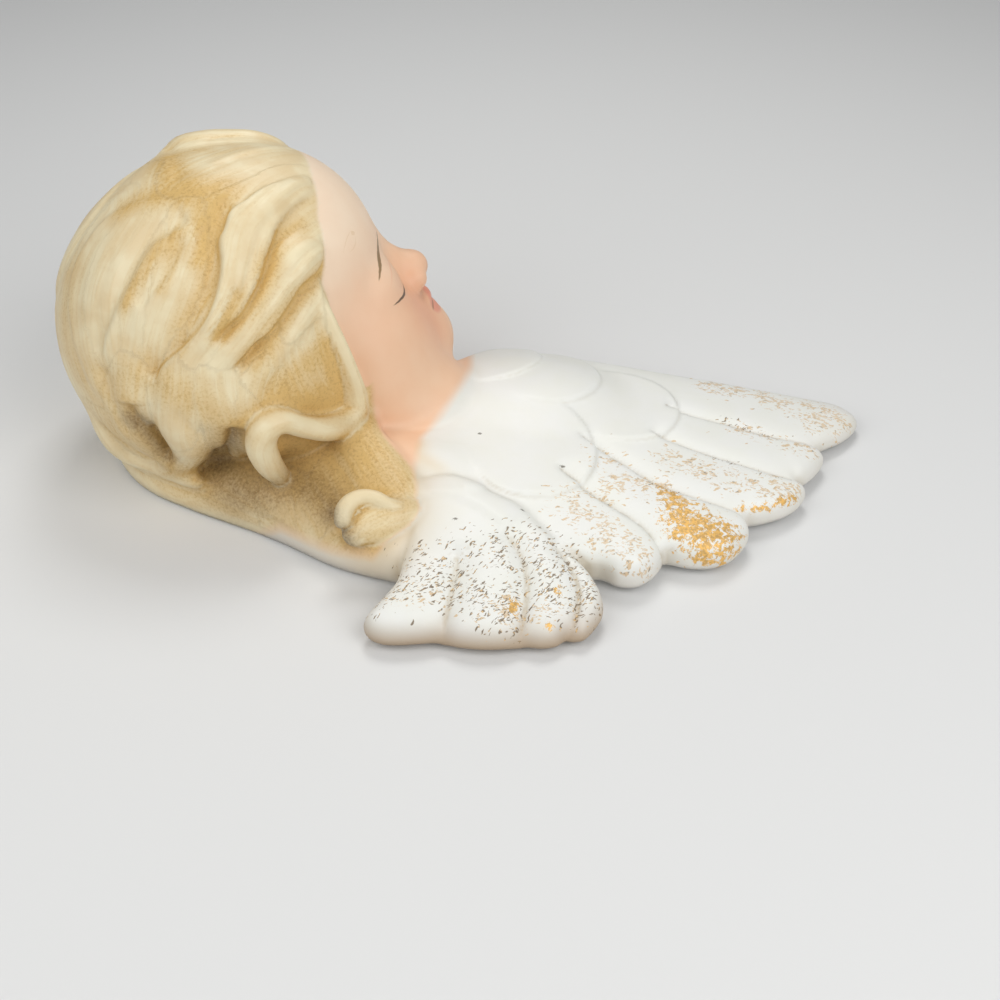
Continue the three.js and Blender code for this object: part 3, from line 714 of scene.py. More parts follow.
# Airbrushed and wiped colour, in soft strokes. Each is a radius in mm, a strength and the points it runs
# through: (x, y, z) in lying mm or, with headSpots, azimuth and latitude over the skull.
airbrush = {
    "wash": [
        (2.1, 0.85, headSpots((52, 49), (55, 48), (64, 44), (72, 38.5), (81, 33), (90, 30), (98, 26))),
        (2.0, 1, headSpots((24, 24), (33, 25.5), (39, 27), (44, 29), (51, 27.5), (57, 26))),
        (1.8, 0.75, headSpots((57, 26), (63, 23.5), (70, 22), (76, 21), (82, 21))),
        (2.1, 0.85, headSpots((42, 13.5), (47, 14), (52, 14), (59, 14), (64, 13), (69, 12), (75, 10),
                              (81, 9))),
        (1.6, 0.8, headSpots((71, 27), (78, 24), (84, 21))),
        (1.2, 0.8, headSpots((57, 51), (65, 46.5), (73, 43.5))),
        (2.0, 0.75, headSpots((70, 54.5), (76, 55), (84, 55), (91, 54), (100, 51), (111, 46))),
        (1.2, 0.75, headSpots((75, 51), (85, 47), (93, 44))),
        (3.4, 0.85, headSpots((-10, 70), (8, 71), (29, 67), (40, 59), (37, 53))),
        (2.6, 0.75, headSpots((87, 79), (59, 74), (49, 68), (46, 60))),
        (2.4, 0.7, headSpots((32, 48), (40, 50), (46, 51), (52, 50))),
        (2.6, 0.5, headSpots((-12, 24), (-14, 34), (-18, 44), (-26, 54), (-38, 62))),
        (2.2, 0.55, headSpots((0, 33), (3, 43), (3, 52), (-8, 60))),
        (1.6, 0.5, headSpots((14, 27), (20, 33), (28, 37))),
        (4.6, 0.95, headSpots((60, -13), (63, -18), (68, -20), (76, -16), (82, -11))),
        (2.6, 0.6, headSpots((57, -6), (64, -5), (71, -4), (79, -4))),
        (4, 0.45, headSpots((104, 4), (107, 12), (112, 18))),
        (3.4, 0.4, headSpots((115, 23), (127, 24))),
        (6, 1, headSpots((66, -50), (80, -44), (90, -36), (98, -32))),
        (2.6, 1, headSpots((72, -36), (81, -32), (89, -28), (92, -24))),
        (3.4, 1, headSpots((100, -8), (108, -14), (116, -20), (126, -25))),
        (3.2, 0.85, headSpots((130, 12), (131, 4), (132, -6), (134, -16))),
        (2.4, 0.5, headSpots((138, 26), (138, 14), (139, 4))),
        (4, 0.4, headSpots((160, 62), (158, 40), (152, 20), (148, 0))),
        (6, 0.3, headSpots((112, -40), (130, -36), (146, -26), (152, -8))),
        (7.5, 0.85, [(1, -4, 14), (4, -11, 15), (7, -17, 13), (9, -23, 12), (8, -29, 9)]),
        (8, 0.9, [(-14, -9, 9), (-6, -14, 9), (-1, -17, 8)]),
        (6, 0.3, [(-30, -8, 5), (-22, -10, 7)]),
        (2.4, 0.9, [(11, -7, 16), (13.4, -9.4, 14.6)]),
        (1.5, 0.35, [(14, -12, 14.5), (17, -14, 14), (19, -15.4, 14)]),
    ],
    # brown paint on the nape and column, and painted shade in the deep creases at the back of the head, under
    # the ear rim, low under the head and under the leaf
    "brownAndShade": [
        (3.6, 1, headSpots((103, -10), (110, -16), (117, -21), (122, -25), (124, -29), lift=-0.6)),
        (2.6, 0.9, headSpots((132, 7), (130, 1), (130, -5), (132, -11), lift=1)),
        (4, 0.95, headSpots((72, -42), (84, -40), (98, -38), (112, -40), (128, -36))),
        (1.4, 0.8, headSpots((74, -37), (82, -33), (90, -28))),
        (4.5, 0.75, [(-18, -14, 6), (-12, -16, 8), (-6, -17, 10), (-1, -20, 10)]),
        (4, 0.2, [(2.6, -5, 15.6), (6.6, -13, 13.4), (10.2, -19.8, 11.6), (12.4, -24.5, 10.6)]),
        (2.2, 0.95, [(0, -24, 10), (1, -27.6, 12), (1.6, -29.4, 10.6), (3.4, -30.2, 8.6)]),
    ],
    "blush": [
        (6.5, 1, [tuple(headPoint(31, 9, -16)), tuple(headPoint(31, 7, -20))]),
        (6.5, 1, [tuple(headPoint(31, -9, -16)), tuple(headPoint(31, -7, -20))]),
        (3, 0.5, [tuple(headPoint(37, 0, -14))]),
        (2.0, 0.12, [(22, 19.5, 15), (20.4, 12.2, 16), (19, 5, 16), (17, -1.6, 16), (15, -8, 16),
                     (14.4, -14, 15)]),
        (8, 0.25, [tuple(headPoint(24, 18, -6))]),
    ],
    "gold": [
        (2.0, 0.85, [(59.3, -15.4, 9), (62, -19.4, 8)]),
        (5.6, 1, [(63.2, -22.5, 7), (66.6, -25.2, 6), (70.2, -27, 4.5)]),
        (3.2, 0.9, [(62, -26, 6), (66, -28.6, 4.5)]),
        (1.5, 0.95, [(74.5, -17.6, 6), (77.7, -17.6, 5.5), (81.4, -15.8, 5), (84.8, -12.4, 4.5)]),
        (0.9, 1, [(24.3, -47.6, 5), (27, -47.8, 4.5), (29.7, -47.6, 5)]),
        (1.2, 1, [(32.3, -44.6, 6.5), (32.2, -46.3, 6)]),
        (1.1, 0.9, [(39.6, -41.2, 7), (40.2, -42.4, 7)]),
        (0.9, 0.9, [(37.5, -48.3, 5), (38.4, -48.4, 5)]),
        (1.3, 0.7, [(21.2, -42.8, 8), (22.2, -44, 8)]),
        (1.2, 0.5, [(55, -33.2, 5), (53.6, -33.4, 5)]),
    ],
    "copper": [
        (3.8, 0.95, [(73.8, 20.5, 8), (79.9, 20.1, 7), (84.7, 17.6, 7), (90.5, 15.4, 6), (97.3, 13.3, 5)]),
        (3, 0.7, [(92, 10, 5), (97, 12, 5)]),
        (2.6, 1, [(76, 5.3, 7), (81.7, 3.3, 6), (86.4, 2, 5.5), (89.3, 1, 5)]),
        (3, 0.85, [(62.2, -6.6, 10), (65.6, -8, 9), (69, -10.5, 8)]),
        (3, 0.95, [(72.9, -11.4, 7), (78.5, -12.4, 6), (84, -12, 5)]),
        (3.2, 0.7, [(48.6, -8.5, 11), (52, -13.1, 11), (49, -18.6, 10), (46.2, -20.4, 10)]),
        (3.4, 0.85, [(42.5, -22.1, 11), (46, -25.3, 9), (49.3, -29.7, 8), (52.8, -31.4, 6),
                     (55.4, -32.9, 5)]),
        (3.6, 0.85, [(57, -14, 9), (61, -19, 8), (65, -25, 6)]),
        (2.2, 0.7, [(28, -45.4, 6.5), (33, -47, 6), (38, -45.5, 6)]),
        (2, 0.8, [(10.4, -43, 5), (14.8, -43.6, 6), (19, -44, 7)]),
    ],
    "flecks": [
        (2.8, 1.0, [(10.4, -42, 5), (14.8, -41.6, 7), (18.2, -41.4, 8), (21.6, -41.6, 8)]),
        (3.4, 0.55, [(14, -37, 9), (19, -37.6, 9.5), (25, -38, 10)]),
        (3.6, 0.95, [(19.8, -40.2, 9), (24.9, -42.1, 8.5), (28.3, -44.8, 7.5), (30, -46.2, 7)]),
        (1.7, 1, [(30.5, -34.6, 11), (31.4, -37.4, 10), (32, -40.2, 9), (32.3, -44.1, 8)]),
        (3.6, 0.95, [(35.1, -36.4, 10), (38.5, -40.2, 9), (40.2, -43.4, 8)]),
        (2.4, 0.9, [(41.4, -33.4, 8), (44.1, -37.9, 7), (45, -41.6, 5), (44.4, -44.4, 4)]),
        (2.6, 0.4, [(22, -34, 11), (32, -31.6, 11), (38, -31, 10)]),
        (0.9, 1, [(73.7, 8, 7.5), (77, 6, 7), (80.4, 4.6, 6.5), (83.6, 3, 6)]),
        (0.8, 0.8, [(66, -2.9, 9), (70.6, -4.9, 8), (79.8, -8, 6.5), (85, -8.6, 5.5)]),
        (0.8, 0.5, [(58.5, -14.4, 9), (63, -16.6, 8), (69, -18.6, 7)]),
    ],
}


def strokeMark(points, strokes):
    total = np.zeros(len(points))
    for radius, strength, spots in strokes:
        path = np.array(spots, float)
        if len(path) > 1:
            path = smoothCurve(path, 6 * len(path))
        gap = (points ** 2).sum(1)[:, None] - 2 * points @ path.T + (path ** 2).sum(1)
        near = np.sqrt(np.maximum(gap, 0).min(1))
        share = strength * np.exp(-(near / radius) ** 2 * 0.9)
        total = 1 - (1 - total) * (1 - share)
    return total


def plaquePoints(mesh):
    hung = np.empty(len(mesh.vertices) * 3)
    mesh.vertices.foreach_get("co", hung)
    turn = math.radians(pose["hangTurn"])
    across, depth, up = hung.reshape(-1, 3).T * 1000
    return np.stack([across * math.cos(turn) - up * math.sin(turn),
                     across * math.sin(turn) + up * math.cos(turn), -depth], 1)


collar = {"path": [(24, 30), (24.2, 20), (24.1, 14.1), (22.8, 8), (21.2, 4), (19.4, 0.6), (17.2, -2.6),
                   (15.6, -6.1), (14.9, -10.4), (14.6, -14.4), (13, -20), (6, -26)], "soft": 0.9}


# The edge between the ochre hair of the nape and the white wings and shell, and how high the shell's
# white rim reaches along x
napeEdge = {
    "path": [(2, 8), (5.3, 1.5), (6.6, -4), (8.6, -9.5), (12, -13.7), (14.2, -16.9), (15, -21), (14.8, -25),
             (13, -28.5), (10, -30.8), (6.5, -32.5), (-0.1, -34), (-6, -32), (-14, -28), (-30, -24)],
    "soft": 0.5,
    "shellAt": (-20, -10, 0, 6), "shellTop": (-4, 4, 4.5, 6),
}


def sideOf(flat, path, soft):
    line = smoothCurve(onWall(path), 90)
    line, tangent, side, step = drawnLine(line, wallOut, False)
    j = ((line ** 2).sum(1) - 2 * flat @ line.T).argmin(1)
    return np.clip(0.5 + ((flat - line[j]) * side[j]).sum(1) / (2 * soft), 0, 1)


# how the hair is combed: across and along the nearest lock, in mm, and which lock it is
def combMarks(points, strands):
    best = np.full(len(points), 1e3)
    comb = np.zeros((len(points), 3))
    for number, strand in enumerate(strands):
        inside = ((points > strand["low"] - 5) & (points < strand["high"] + 5)).all(1)
        here = np.nonzero(inside)[0]
        for part in np.array_split(here, max(1, len(here) // 20000)):
            away, across, along = strand["comb"](points[part])
            nearer = away < best[part]
            best[part[nearer]] = away[nearer]
            comb[part[nearer]] = np.stack([across, along, np.full(len(part), 9.0 * number)], 1)[nearer]
    return comb


def paintMarks(plaque, groups):
    mesh = plaque.data
    points = plaquePoints(mesh)
    away, wing, skin, hair, _, curl = fieldAt(points, groups, parts=True)
    slope = slopeAt(points, groups, away)
    normal = slope / np.maximum(np.linalg.norm(slope, axis=1)[:, None], 1e-6)
    local = points - headCentre
    hollow, ridge = 0, 0
    for out, into in zip((1.2, 3.0), (1.4, 3.0)):
        hollow = hollow + (out - fieldAt(points + out * normal, groups, reach=5)) / out / 2
        ridge = ridge + (into + fieldAt(points - into * normal, groups, reach=5)) / into / 2
    spots = local * (overHead / np.linalg.norm(local, axis=1))[:, None]
    path, tangent, side, step = drawnHairline
    j = (spots @ path.T).argmax(1)
    # the hair: the locks, the head behind the hairline and the nape
    nape = np.clip(0.5 - ((spots - path[j]) * side[j]).sum(1) / 0.7, 0, 1)
    behind = nape * ((local @ crownUp > -22) & (skin < wing))
    onHair = np.clip(0.5 + (np.minimum(skin, wing) - np.minimum(hair, curl)) / 0.8, 0, 1)
    flat = points * (1, 1, 0)
    shellTop = np.interp(points[:, 0], napeEdge["shellAt"], napeEdge["shellTop"])
    onNape = 1 - sideOf(flat, napeEdge["path"], napeEdge["soft"])
    onNape *= np.clip((points[:, 2] - shellTop) / 3 + 0.5, 0, 1)
    onNape *= (points[:, 0] < 18) * (points[:, 1] < 8 + 0.3 * np.abs(points[:, 0]))
    onNape *= np.maximum(local @ crownUp < -16, points[:, 0] < -3)
    onRim = np.clip(0.5 + (hair - curl) / 1.2, 0, 1) * np.clip(1.5 - np.abs(curl), 0, 1)
    isHair = np.maximum(np.maximum(behind, onHair), onNape)
    # the white: past the collar, and low round the body
    isWing = sideOf(flat, collar["path"], collar["soft"])
    isWing = np.maximum(isWing, np.clip((9 - points[:, 2]) / 3, 0, 1)) * np.clip(hair - 1, 0, 1)
    isWing *= 1 - np.clip((wing - skin - 1.5) / 1.5, 0, 1)
    isWing = np.maximum(isWing, nape * (points[:, 0] < 4))
    marks = {"hair": isHair, "wing": isWing * (1 - isHair), "hollow": np.clip(hollow, 0, 1),
             "ridge": np.clip(ridge, 0, 1)}
    for name, strokes in airbrush.items():
        marks[name] = strokeMark(points, strokes)
    marks["wash"] *= 1 - 0.85 * onRim * marks["ridge"] ** 0.5
    strands = [form for group in groups[2:] for form in group["forms"] if "comb" in form]
    layer = mesh.attributes.new("comb", "FLOAT_VECTOR", "POINT")
    layer.data.foreach_set("vector", combMarks(points, strands).astype(np.float32).ravel())
    for name, values in marks.items():
        layer = mesh.attributes.new(name, "FLOAT", "POINT")
        layer.data.foreach_set("value", values.astype(np.float32))
        print("mark", name, "mean", round(float(values.mean()), 3))


paintMarks(plaque, forms)


# Shader helpers
def addNode(tree, kind, inputs=None, **settings):
    node = tree.nodes.new("ShaderNode" + kind)
    for name, value in settings.items():
        setattr(node, name, value)
    for name, value in (inputs or {}).items():
        value = getattr(value, "socket", value)
        if isinstance(value, bpy.types.NodeSocket):
            tree.links.new(value, node.inputs[name])
        else:
            node.inputs[name].default_value = value
    return node


# A number that the shader works out. It is added, taken away and multiplied like any other.
class Value:
    def __init__(self, tree, socket):
        self.tree, self.socket = tree, socket

    def __add__(self, other):
        return calc(self.tree, "ADD", self, other)

    def __radd__(self, other):
        return calc(self.tree, "ADD", other, self)

    def __sub__(self, other):
        return calc(self.tree, "SUBTRACT", self, other)

    def __rsub__(self, other):
        return calc(self.tree, "SUBTRACT", other, self)

    def __mul__(self, other):
        return calc(self.tree, "MULTIPLY", self, other)

    def __rmul__(self, other):
        return calc(self.tree, "MULTIPLY", other, self)

    def clamped(self):
        self.socket.node.use_clamp = True
        return self


def calc(tree, operation, a, b=0.0):
    return Value(tree, addNode(tree, "Math", {0: a, 1: b}, operation=operation).outputs[0])


def most(tree, a, b):
    return calc(tree, "MAXIMUM", a, b)


def blendColour(tree, factor, a, b):
    return addNode(tree, "Mix", {0: factor, 6: a, 7: b}, data_type="RGBA").outputs[2]


def stepUp(tree, value, low, high, smooth=True):
    kind = "SMOOTHSTEP" if smooth else "LINEAR"
    node = addNode(tree, "MapRange", {0: value, 1: low, 2: high}, interpolation_type=kind)
    return Value(tree, node.outputs[0])


def noiseAt(tree, vector, scale, detail=2.0, distortion=0.0):
    settings = {"Vector": vector, "Scale": scale, "Detail": detail, "Distortion": distortion}
    return Value(tree, addNode(tree, "TexNoise", settings).outputs[0])


def mark(tree, name):
    return Value(tree, addNode(tree, "Attribute", attribute_name=name).outputs["Fac"])


def lyingVector(tree):
    spot = addNode(tree, "TexCoord").outputs["Object"]
    turned = addNode(tree, "VectorRotate", {"Vector": spot, "Angle": math.radians(-90)},
                     rotation_type="X_AXIS").outputs[0]
    flat = addNode(tree, "VectorRotate", {"Vector": turned, "Angle": math.radians(pose["hangTurn"])},
                   rotation_type="Z_AXIS").outputs[0]
    return addNode(tree, "VectorMath", {0: flat, 3: 1000.0}, operation="SCALE").outputs[0]


# Strokes of thin metallic paint dragged off a nearly dry brush
def makeDashGroup():
    tree = bpy.data.node_groups.new("dryBrushDashes", "ShaderNodeTree")
    tree.interface.new_socket("Vector", in_out="INPUT", socket_type="NodeSocketVector")
    for name in ("Turn", "Length", "Width", "Cover"):
        tree.interface.new_socket(name, in_out="INPUT", socket_type="NodeSocketFloat")
    tree.interface.new_socket("Mask", in_out="OUTPUT", socket_type="NodeSocketFloat")
    put, take = tree.nodes.new("NodeGroupInput"), tree.nodes.new("NodeGroupOutput")
    bent = addNode(tree, "TexNoise", {"Vector": put.outputs["Vector"], "Scale": 0.6,
                                      "Detail": 4.0}).outputs["Color"]
    shift = addNode(tree, "VectorMath", {0: bent, 1: (0.5, 0.5, 0.5)}, operation="SUBTRACT").outputs[0]
    shifted = addNode(tree, "VectorMath", {0: shift, 1: (1.6, 1.6, 1.6), 2: put.outputs["Vector"]},
                      operation="MULTIPLY_ADD").outputs[0]
    turned = addNode(tree, "VectorRotate", {"Vector": shifted, "Angle": put.outputs["Turn"]},
                     rotation_type="Z_AXIS").outputs[0]
    strokeSize = addNode(tree, "CombineXYZ", {0: put.outputs["Length"], 1: put.outputs["Width"],
                                              2: put.outputs["Length"]}).outputs[0]
    cell = addNode(tree, "VectorMath", {0: turned, 1: strokeSize}, operation="DIVIDE").outputs[0]
    seeds = addNode(tree, "TexVoronoi", {"Vector": cell, "Scale": 1.0, "Randomness": 1.0})
    luck = addNode(tree, "SeparateColor", {0: seeds.outputs["Color"]}).outputs
    present = calc(tree, "LESS_THAN", luck[0], put.outputs["Cover"])
    size = Value(tree, addNode(tree, "MapRange", {0: luck[1], 3: 0.14, 4: 0.44}).outputs[0])
    body = 1 - stepUp(tree, seeds.outputs["Distance"] - size, -0.05, 0.06)
    tree.links.new((present * body).socket, take.inputs["Mask"])
    return tree


def dashes(tree, group, vector, turn, length, width, cover):
    settings = {"Vector": vector, "Turn": math.radians(turn), "Length": length, "Width": width,
                "Cover": cover}
    return addNode(tree, "Group", settings, node_tree=group).outputs["Mask"]


def headVector(tree, place):
    local = addNode(tree, "VectorMath", {0: place, 1: tuple(headCentre)}, operation="SUBTRACT").outputs[0]
    along = [addNode(tree, "VectorMath", {0: local, 1: tuple(axis)}, operation="DOT_PRODUCT")
             for axis in headAxes]
    return [Value(tree, node.outputs["Value"]) for node in along]


# A stroke of the brush on the face: aside runs out from the middle of the face and up runs up, in mm
def faceStroke(tree, aside, up, stroke):
    start, end = stroke["from"], stroke["to"]
    t = stepUp(tree, aside, start[0], end[0], smooth=False)
    arch = calc(tree, "SINE", t * math.pi)
    level = t * (end[1] - start[1]) + start[1]
    level = level + arch * stroke["arch"]
    swell = calc(tree, "POWER", most(tree, arch, 0.0), 0.8) * stroke["half"]
    miss = calc(tree, "ABSOLUTE", up - level) - swell
    return (1 - stepUp(tree, miss, -0.12, 0.1)) * stepUp(tree, arch, 0.02, 0.2)


faceStrokes = {
    "brow": {"from": (2.2, -1.9), "to": (16, -4.1), "arch": 0.7, "half": 0.5},
    "lash": {"from": (4.6, -8.6), "to": (17.6, -8.8), "arch": -2.0, "half": 0.4},
    "lid": {"from": (5.0, -6.2), "to": (15.6, -6.6), "arch": 1.1, "half": 0.22},
    "scratchOver": {"from": (13.2, 6.3), "to": (17.6, 5.3), "arch": 0.5, "half": 0.1},
    "scratchUnder": {"from": (13.2, 5.0), "to": (16.6, 4.5), "arch": -0.6, "half": 0.1},
    "scratchEnd": {"from": (12.9, 5.6), "to": (13.9, 5.7), "arch": 0.1, "half": 0.5},
}
speckSpots = [(26.2, -4.6), (41.5, -12.6), (22.2, -28.4), (34, -25.4)]

paint = {
    "bisque": (0.82, 0.82, 0.78, 1),
    "bisqueWarm": (0.81, 0.81, 0.75, 1),
    "skin": (0.82, 0.50, 0.31, 1),
    "skinPale": (0.90, 0.72, 0.54, 1),
    "blush": (0.82, 0.38, 0.22, 1),
    "cream": (0.74, 0.59, 0.35, 1),
    "creamPale": (0.81, 0.70, 0.46, 1),
    "ochre": (0.66, 0.44, 0.16, 1),
    "ochreDeep": (0.40, 0.24, 0.075, 1),
    # dark brown, used for brown paint and for painted shade
    "brownAndShade": (0.15, 0.085, 0.03, 1),
    "copper": (0.66, 0.43, 0.18, 1),
    "umber": (0.17, 0.115, 0.06, 1),
    "gold": (0.86, 0.52, 0.15, 1),
    "goldDull": (0.60, 0.37, 0.13, 1),
    # painted shade for the hollows of the wings
    "shade": (0.60, 0.55, 0.45, 1),
    # a beige tint with painted shade for the low edges of the wings
    "rim": (0.46, 0.35, 0.24, 1),
    "speck": (0.10, 0.08, 0.05, 1),
    "lash": (0.06, 0.035, 0.02, 1),
    "brow": (0.20, 0.12, 0.04, 1),
    "lips": (0.74, 0.27, 0.19, 1),
}
# How the paint lies. A pair is where a mask starts and where it is full.
finish = {
    # noise: scale per mm, detail and distortion
    "mottle": (0.16, 3), "grain": (1.9, 4, 0.4), "fine": (5.5, 2),
    # streaks across and along a lock
    "comb": (1.1, 0.09, 1.0), "strands": (0.36, 0.64),
    "washHollow": 0.9, "washRidge": 0.8, "washStrands": 0.2,
    "washSpecks": (0.54, 0.7), "washSpeckShare": 0.4,
    "creamPatch": (0.35, 0.65),
    "paleBrow": (-12, 10),         # mm up the face, where the skin turns paler
    "lipHalf": (4.9, 3.1), "lipLevel": 21.4, "lipEdge": (0.6, 1.15), "lipSeam": (0.1, 0.5),
    "faceFront": (14, 17), "mouthFront": (29, 31),
    "warmPatch": (0.3, 0.7), "hollowShade": 1.6,
    # painted shade and beige tint low on the wings: the heights over which it fades, where the near side
    # starts, and how strong it is
    "rimTintAndShadeLow": (1.5, 6.5), "rimTintAndShadeNear": (-42, -34), "rimTintAndShadeShare": (0.25, 0.75),
    "copperPatch": (0.3, 0.52), "smear": (0.67, 0.71), "copperCover": 0.72,
    "copperTone": (0.54, 0.66), "fleckTone": (0.5, 0.62), "fleckCover": 0.9,
    "gilt": (0.725, 0.79), "giltTone": (0.4, 0.6), "giltMetal": 0.3,
    "speckSize": (0.3, 0.5), "speckCover": 0.8, "scratchCover": 0.3,
    "roughness": (0.42, 0.14),
    "bump": (0.06, 0.04, 0.22),    # of the grain, the fine noise and the strands
}
# Dragged strokes: turn in degrees, length and width in mm, and how much of a full patch they cover
brushes = {
    "copper": [(-25, 1.9, 0.6, 0.62), (20, 1.2, 0.4, 0.55)],
    "flecks": [(-48, 1.7, 0.34, 0.9), (-12, 1.1, 0.3, 0.75)],
}


def makeNoises(tree, place):
    return {name: noiseAt(tree, place, *finish[name]) for name in ("mottle", "grain", "fine")}


def combedStrands(tree):
    comb = addNode(tree, "Attribute", attribute_name="comb").outputs["Vector"]
    combed = addNode(tree, "VectorMath", {0: comb, 1: finish["comb"]}, operation="MULTIPLY").outputs[0]
    return stepUp(tree, noiseAt(tree, combed, 1.0, 3, 0.3), *finish["strands"])


# Hair: an ochre wash left in the hollows and wiped off the ridges
def hairColour(tree, noises, strands):
    grain, mottle = noises["grain"], noises["mottle"]
    wash = mark(tree, "wash") + mark(tree, "hollow") * finish["washHollow"]
    wash = wash - mark(tree, "ridge") * finish["washRidge"]
    wash = wash + (0.5 - strands) * finish["washStrands"]
    uneven = grain * 1.1 + mottle * 0.7
    wash = (wash * (uneven + 0.3)).clamped()
    crazed = grain * 0.75 + noises["fine"] * 0.35
    specks = stepUp(tree, crazed, *finish["washSpecks"]) * wash
    colour = blendColour(tree, stepUp(tree, mottle, *finish["creamPatch"]), paint["cream"],
                         paint["creamPale"])
    colour = blendColour(tree, mark(tree, "ridge"), colour, paint["creamPale"])
    colour = blendColour(tree, wash, colour, paint["ochre"])
    colour = blendColour(tree, (specks * finish["washSpeckShare"]).clamped(), colour, paint["ochreDeep"])
    # brown paint on the nape, and painted shade in the deep creases and under the head
    brownAndShade = (mark(tree, "brownAndShade") * (grain + 0.25)).clamped()
    return blendColour(tree, brownAndShade, colour, paint["brownAndShade"])


# Face: out and up run from the middle of the head in mm, hand the same way to either side, and wobble
# is up with an unsteady hand
def skinColour(tree, noises, out, hand, up, wobble):
    pale = stepUp(tree, up, *finish["paleBrow"]) * 0.7
    pale = (noises["mottle"] * 0.5 + pale).clamped()
    colour = blendColour(tree, pale, paint["skin"], paint["skinPale"])
    colour = blendColour(tree, mark(tree, "blush") * 0.75, colour, paint["blush"])
    level = wobble + finish["lipLevel"]
    across = calc(tree, "POWER", calc(tree, "DIVIDE", hand, finish["lipHalf"][0]), 2.0)
    upright = calc(tree, "POWER", calc(tree, "DIVIDE", level, finish["lipHalf"][1]), 2.0)
    lips = 1 - stepUp(tree, across + upright, *finish["lipEdge"])
    lips = lips * stepUp(tree, out, *finish["mouthFront"])
    colour = blendColour(tree, lips * 0.75, colour, paint["lips"])
    seam = 1 - stepUp(tree, calc(tree, "ABSOLUTE", level), *finish["lipSeam"])
    colour = blendColour(tree, seam * lips * 0.6, colour, paint["brow"])
    front = stepUp(tree, out, *finish["faceFront"])
    for name, strength, tone in (("lid", 0.35, "blush"), ("brow", 0.85, "brow"), ("lash", 0.9, "lash")):
        stroke = faceStroke(tree, hand, wobble, faceStrokes[name]) * front
        colour = blendColour(tree, stroke * strength, colour, paint[tone])
    return colour


def wingColour(tree, noises, place):
    warm = stepUp(tree, noises["mottle"], *finish["warmPatch"])
    colour = blendColour(tree, warm, paint["bisque"], paint["bisqueWarm"])
    # painted shade in the hollows of the white wings and shell
    hollow = (mark(tree, "hollow") * finish["hollowShade"]).clamped()
    colour = blendColour(tree, hollow, colour, paint["shade"])
    # painted shade with a beige tint along the low edges, darker towards the bottom and strongest along the
    # near wing's lower edge
    _, y, z = addNode(tree, "SeparateXYZ", {0: place}).outputs
    low = 1 - stepUp(tree, z, *finish["rimTintAndShadeLow"])
    nearSide = 1 - stepUp(tree, y, *finish["rimTintAndShadeNear"])
    least, more = finish["rimTintAndShadeShare"]
    colour = blendColour(tree, low * (nearSide * more + least), colour, paint["rim"])
    # the ochre wash, the brown paint with its painted shade, and the pink airbrush also reach the white
    for name, strength, tone in (("wash", 0.85, "ochre"), ("brownAndShade", 0.9, "brownAndShade"), ("blush", 0.4, "skin")):
        colour = blendColour(tree, mark(tree, name) * strength, colour, paint[tone])
    return colour


# Metallic paint over the feathers: copper dragged thin, dark flecks, and gilt on the tips
def metalPaint(tree, noises, place, base):
    grain, group = noises["grain"], makeDashGroup()
    patch = stepUp(tree, noiseAt(tree, place, 0.3, 2), *finish["copperPatch"])
    copper = mark(tree, "copper") * patch
    flecks = (mark(tree, "flecks") * (patch + 0.45)).clamped()
    covers = {"copper": copper, "flecks": flecks}
    strokes = {}
    for name, cover in covers.items():
        first, second = [dashes(tree, group, place, *brush[:3], cover * brush[3]) for brush in brushes[name]]
        strokes[name] = most(tree, first, second)
    dragged = addNode(tree, "VectorMath", {0: place, 1: (0.9, 1.7, 0.9)}, operation="MULTIPLY").outputs[0]
    dragged = noiseAt(tree, dragged, 0.9, 4, 1.2) + copper * 0.2
    smear = stepUp(tree, dragged, *finish["smear"]) * stepUp(tree, copper, 0.05, 0.3)
    coppery = most(tree, strokes["copper"], smear * 0.8) * finish["copperCover"]
    tone = blendColour(tree, stepUp(tree, grain, *finish["copperTone"]), paint["copper"], paint["umber"])
    base = blendColour(tree, coppery, base, tone)
    tone = blendColour(tree, stepUp(tree, grain, *finish["fleckTone"]), paint["umber"], paint["copper"])
    base = blendColour(tree, strokes["flecks"] * finish["fleckCover"], base, tone)
    worn = noiseAt(tree, place, 0.9, 4, 0.6) * 0.7 + noises["fine"] * 0.3
    gilt = stepUp(tree, worn + mark(tree, "gold") * 0.33, *finish["gilt"])
    tone = blendColour(tree, stepUp(tree, grain, *finish["giltTone"]), paint["goldDull"], paint["gold"])
    return blendColour(tree, gilt, base, tone), gilt


# Marks of handling: specks in the glaze, and a hooked scratch on the temple
def handlingMarks(tree, noises, place, front, aside, wobble, base):
    specks, scratch = 0.0, 0.0
    ragged = (noises["fine"] - 0.5) * 1.2
    for x, y in speckSpots:
        away = addNode(tree, "VectorMath", {0: place, 1: (x, y, 0.0)}, operation="SUBTRACT").outputs[0]
        away = addNode(tree, "VectorMath", {0: away, 1: (1.0, 1.6, 0.0)}, operation="MULTIPLY").outputs[0]
        away = addNode(tree, "VectorMath", {0: away}, operation="LENGTH").outputs["Value"]
        specks = most(tree, 1 - stepUp(tree, away + ragged, *finish["speckSize"]), specks)
    top = stepUp(tree, addNode(tree, "SeparateXYZ", {0: place}).outputs[2], 4, 6)
    specks = specks * mark(tree, "wing") * top
    base = blendColour(tree, specks * finish["speckCover"], base, paint["speck"])
    for name in ("scratchOver", "scratchUnder", "scratchEnd"):
        scratch = most(tree, faceStroke(tree, aside, wobble, faceStrokes[name]), scratch)
    return blendColour(tree, scratch * front * finish["scratchCover"], base, paint["copper"])


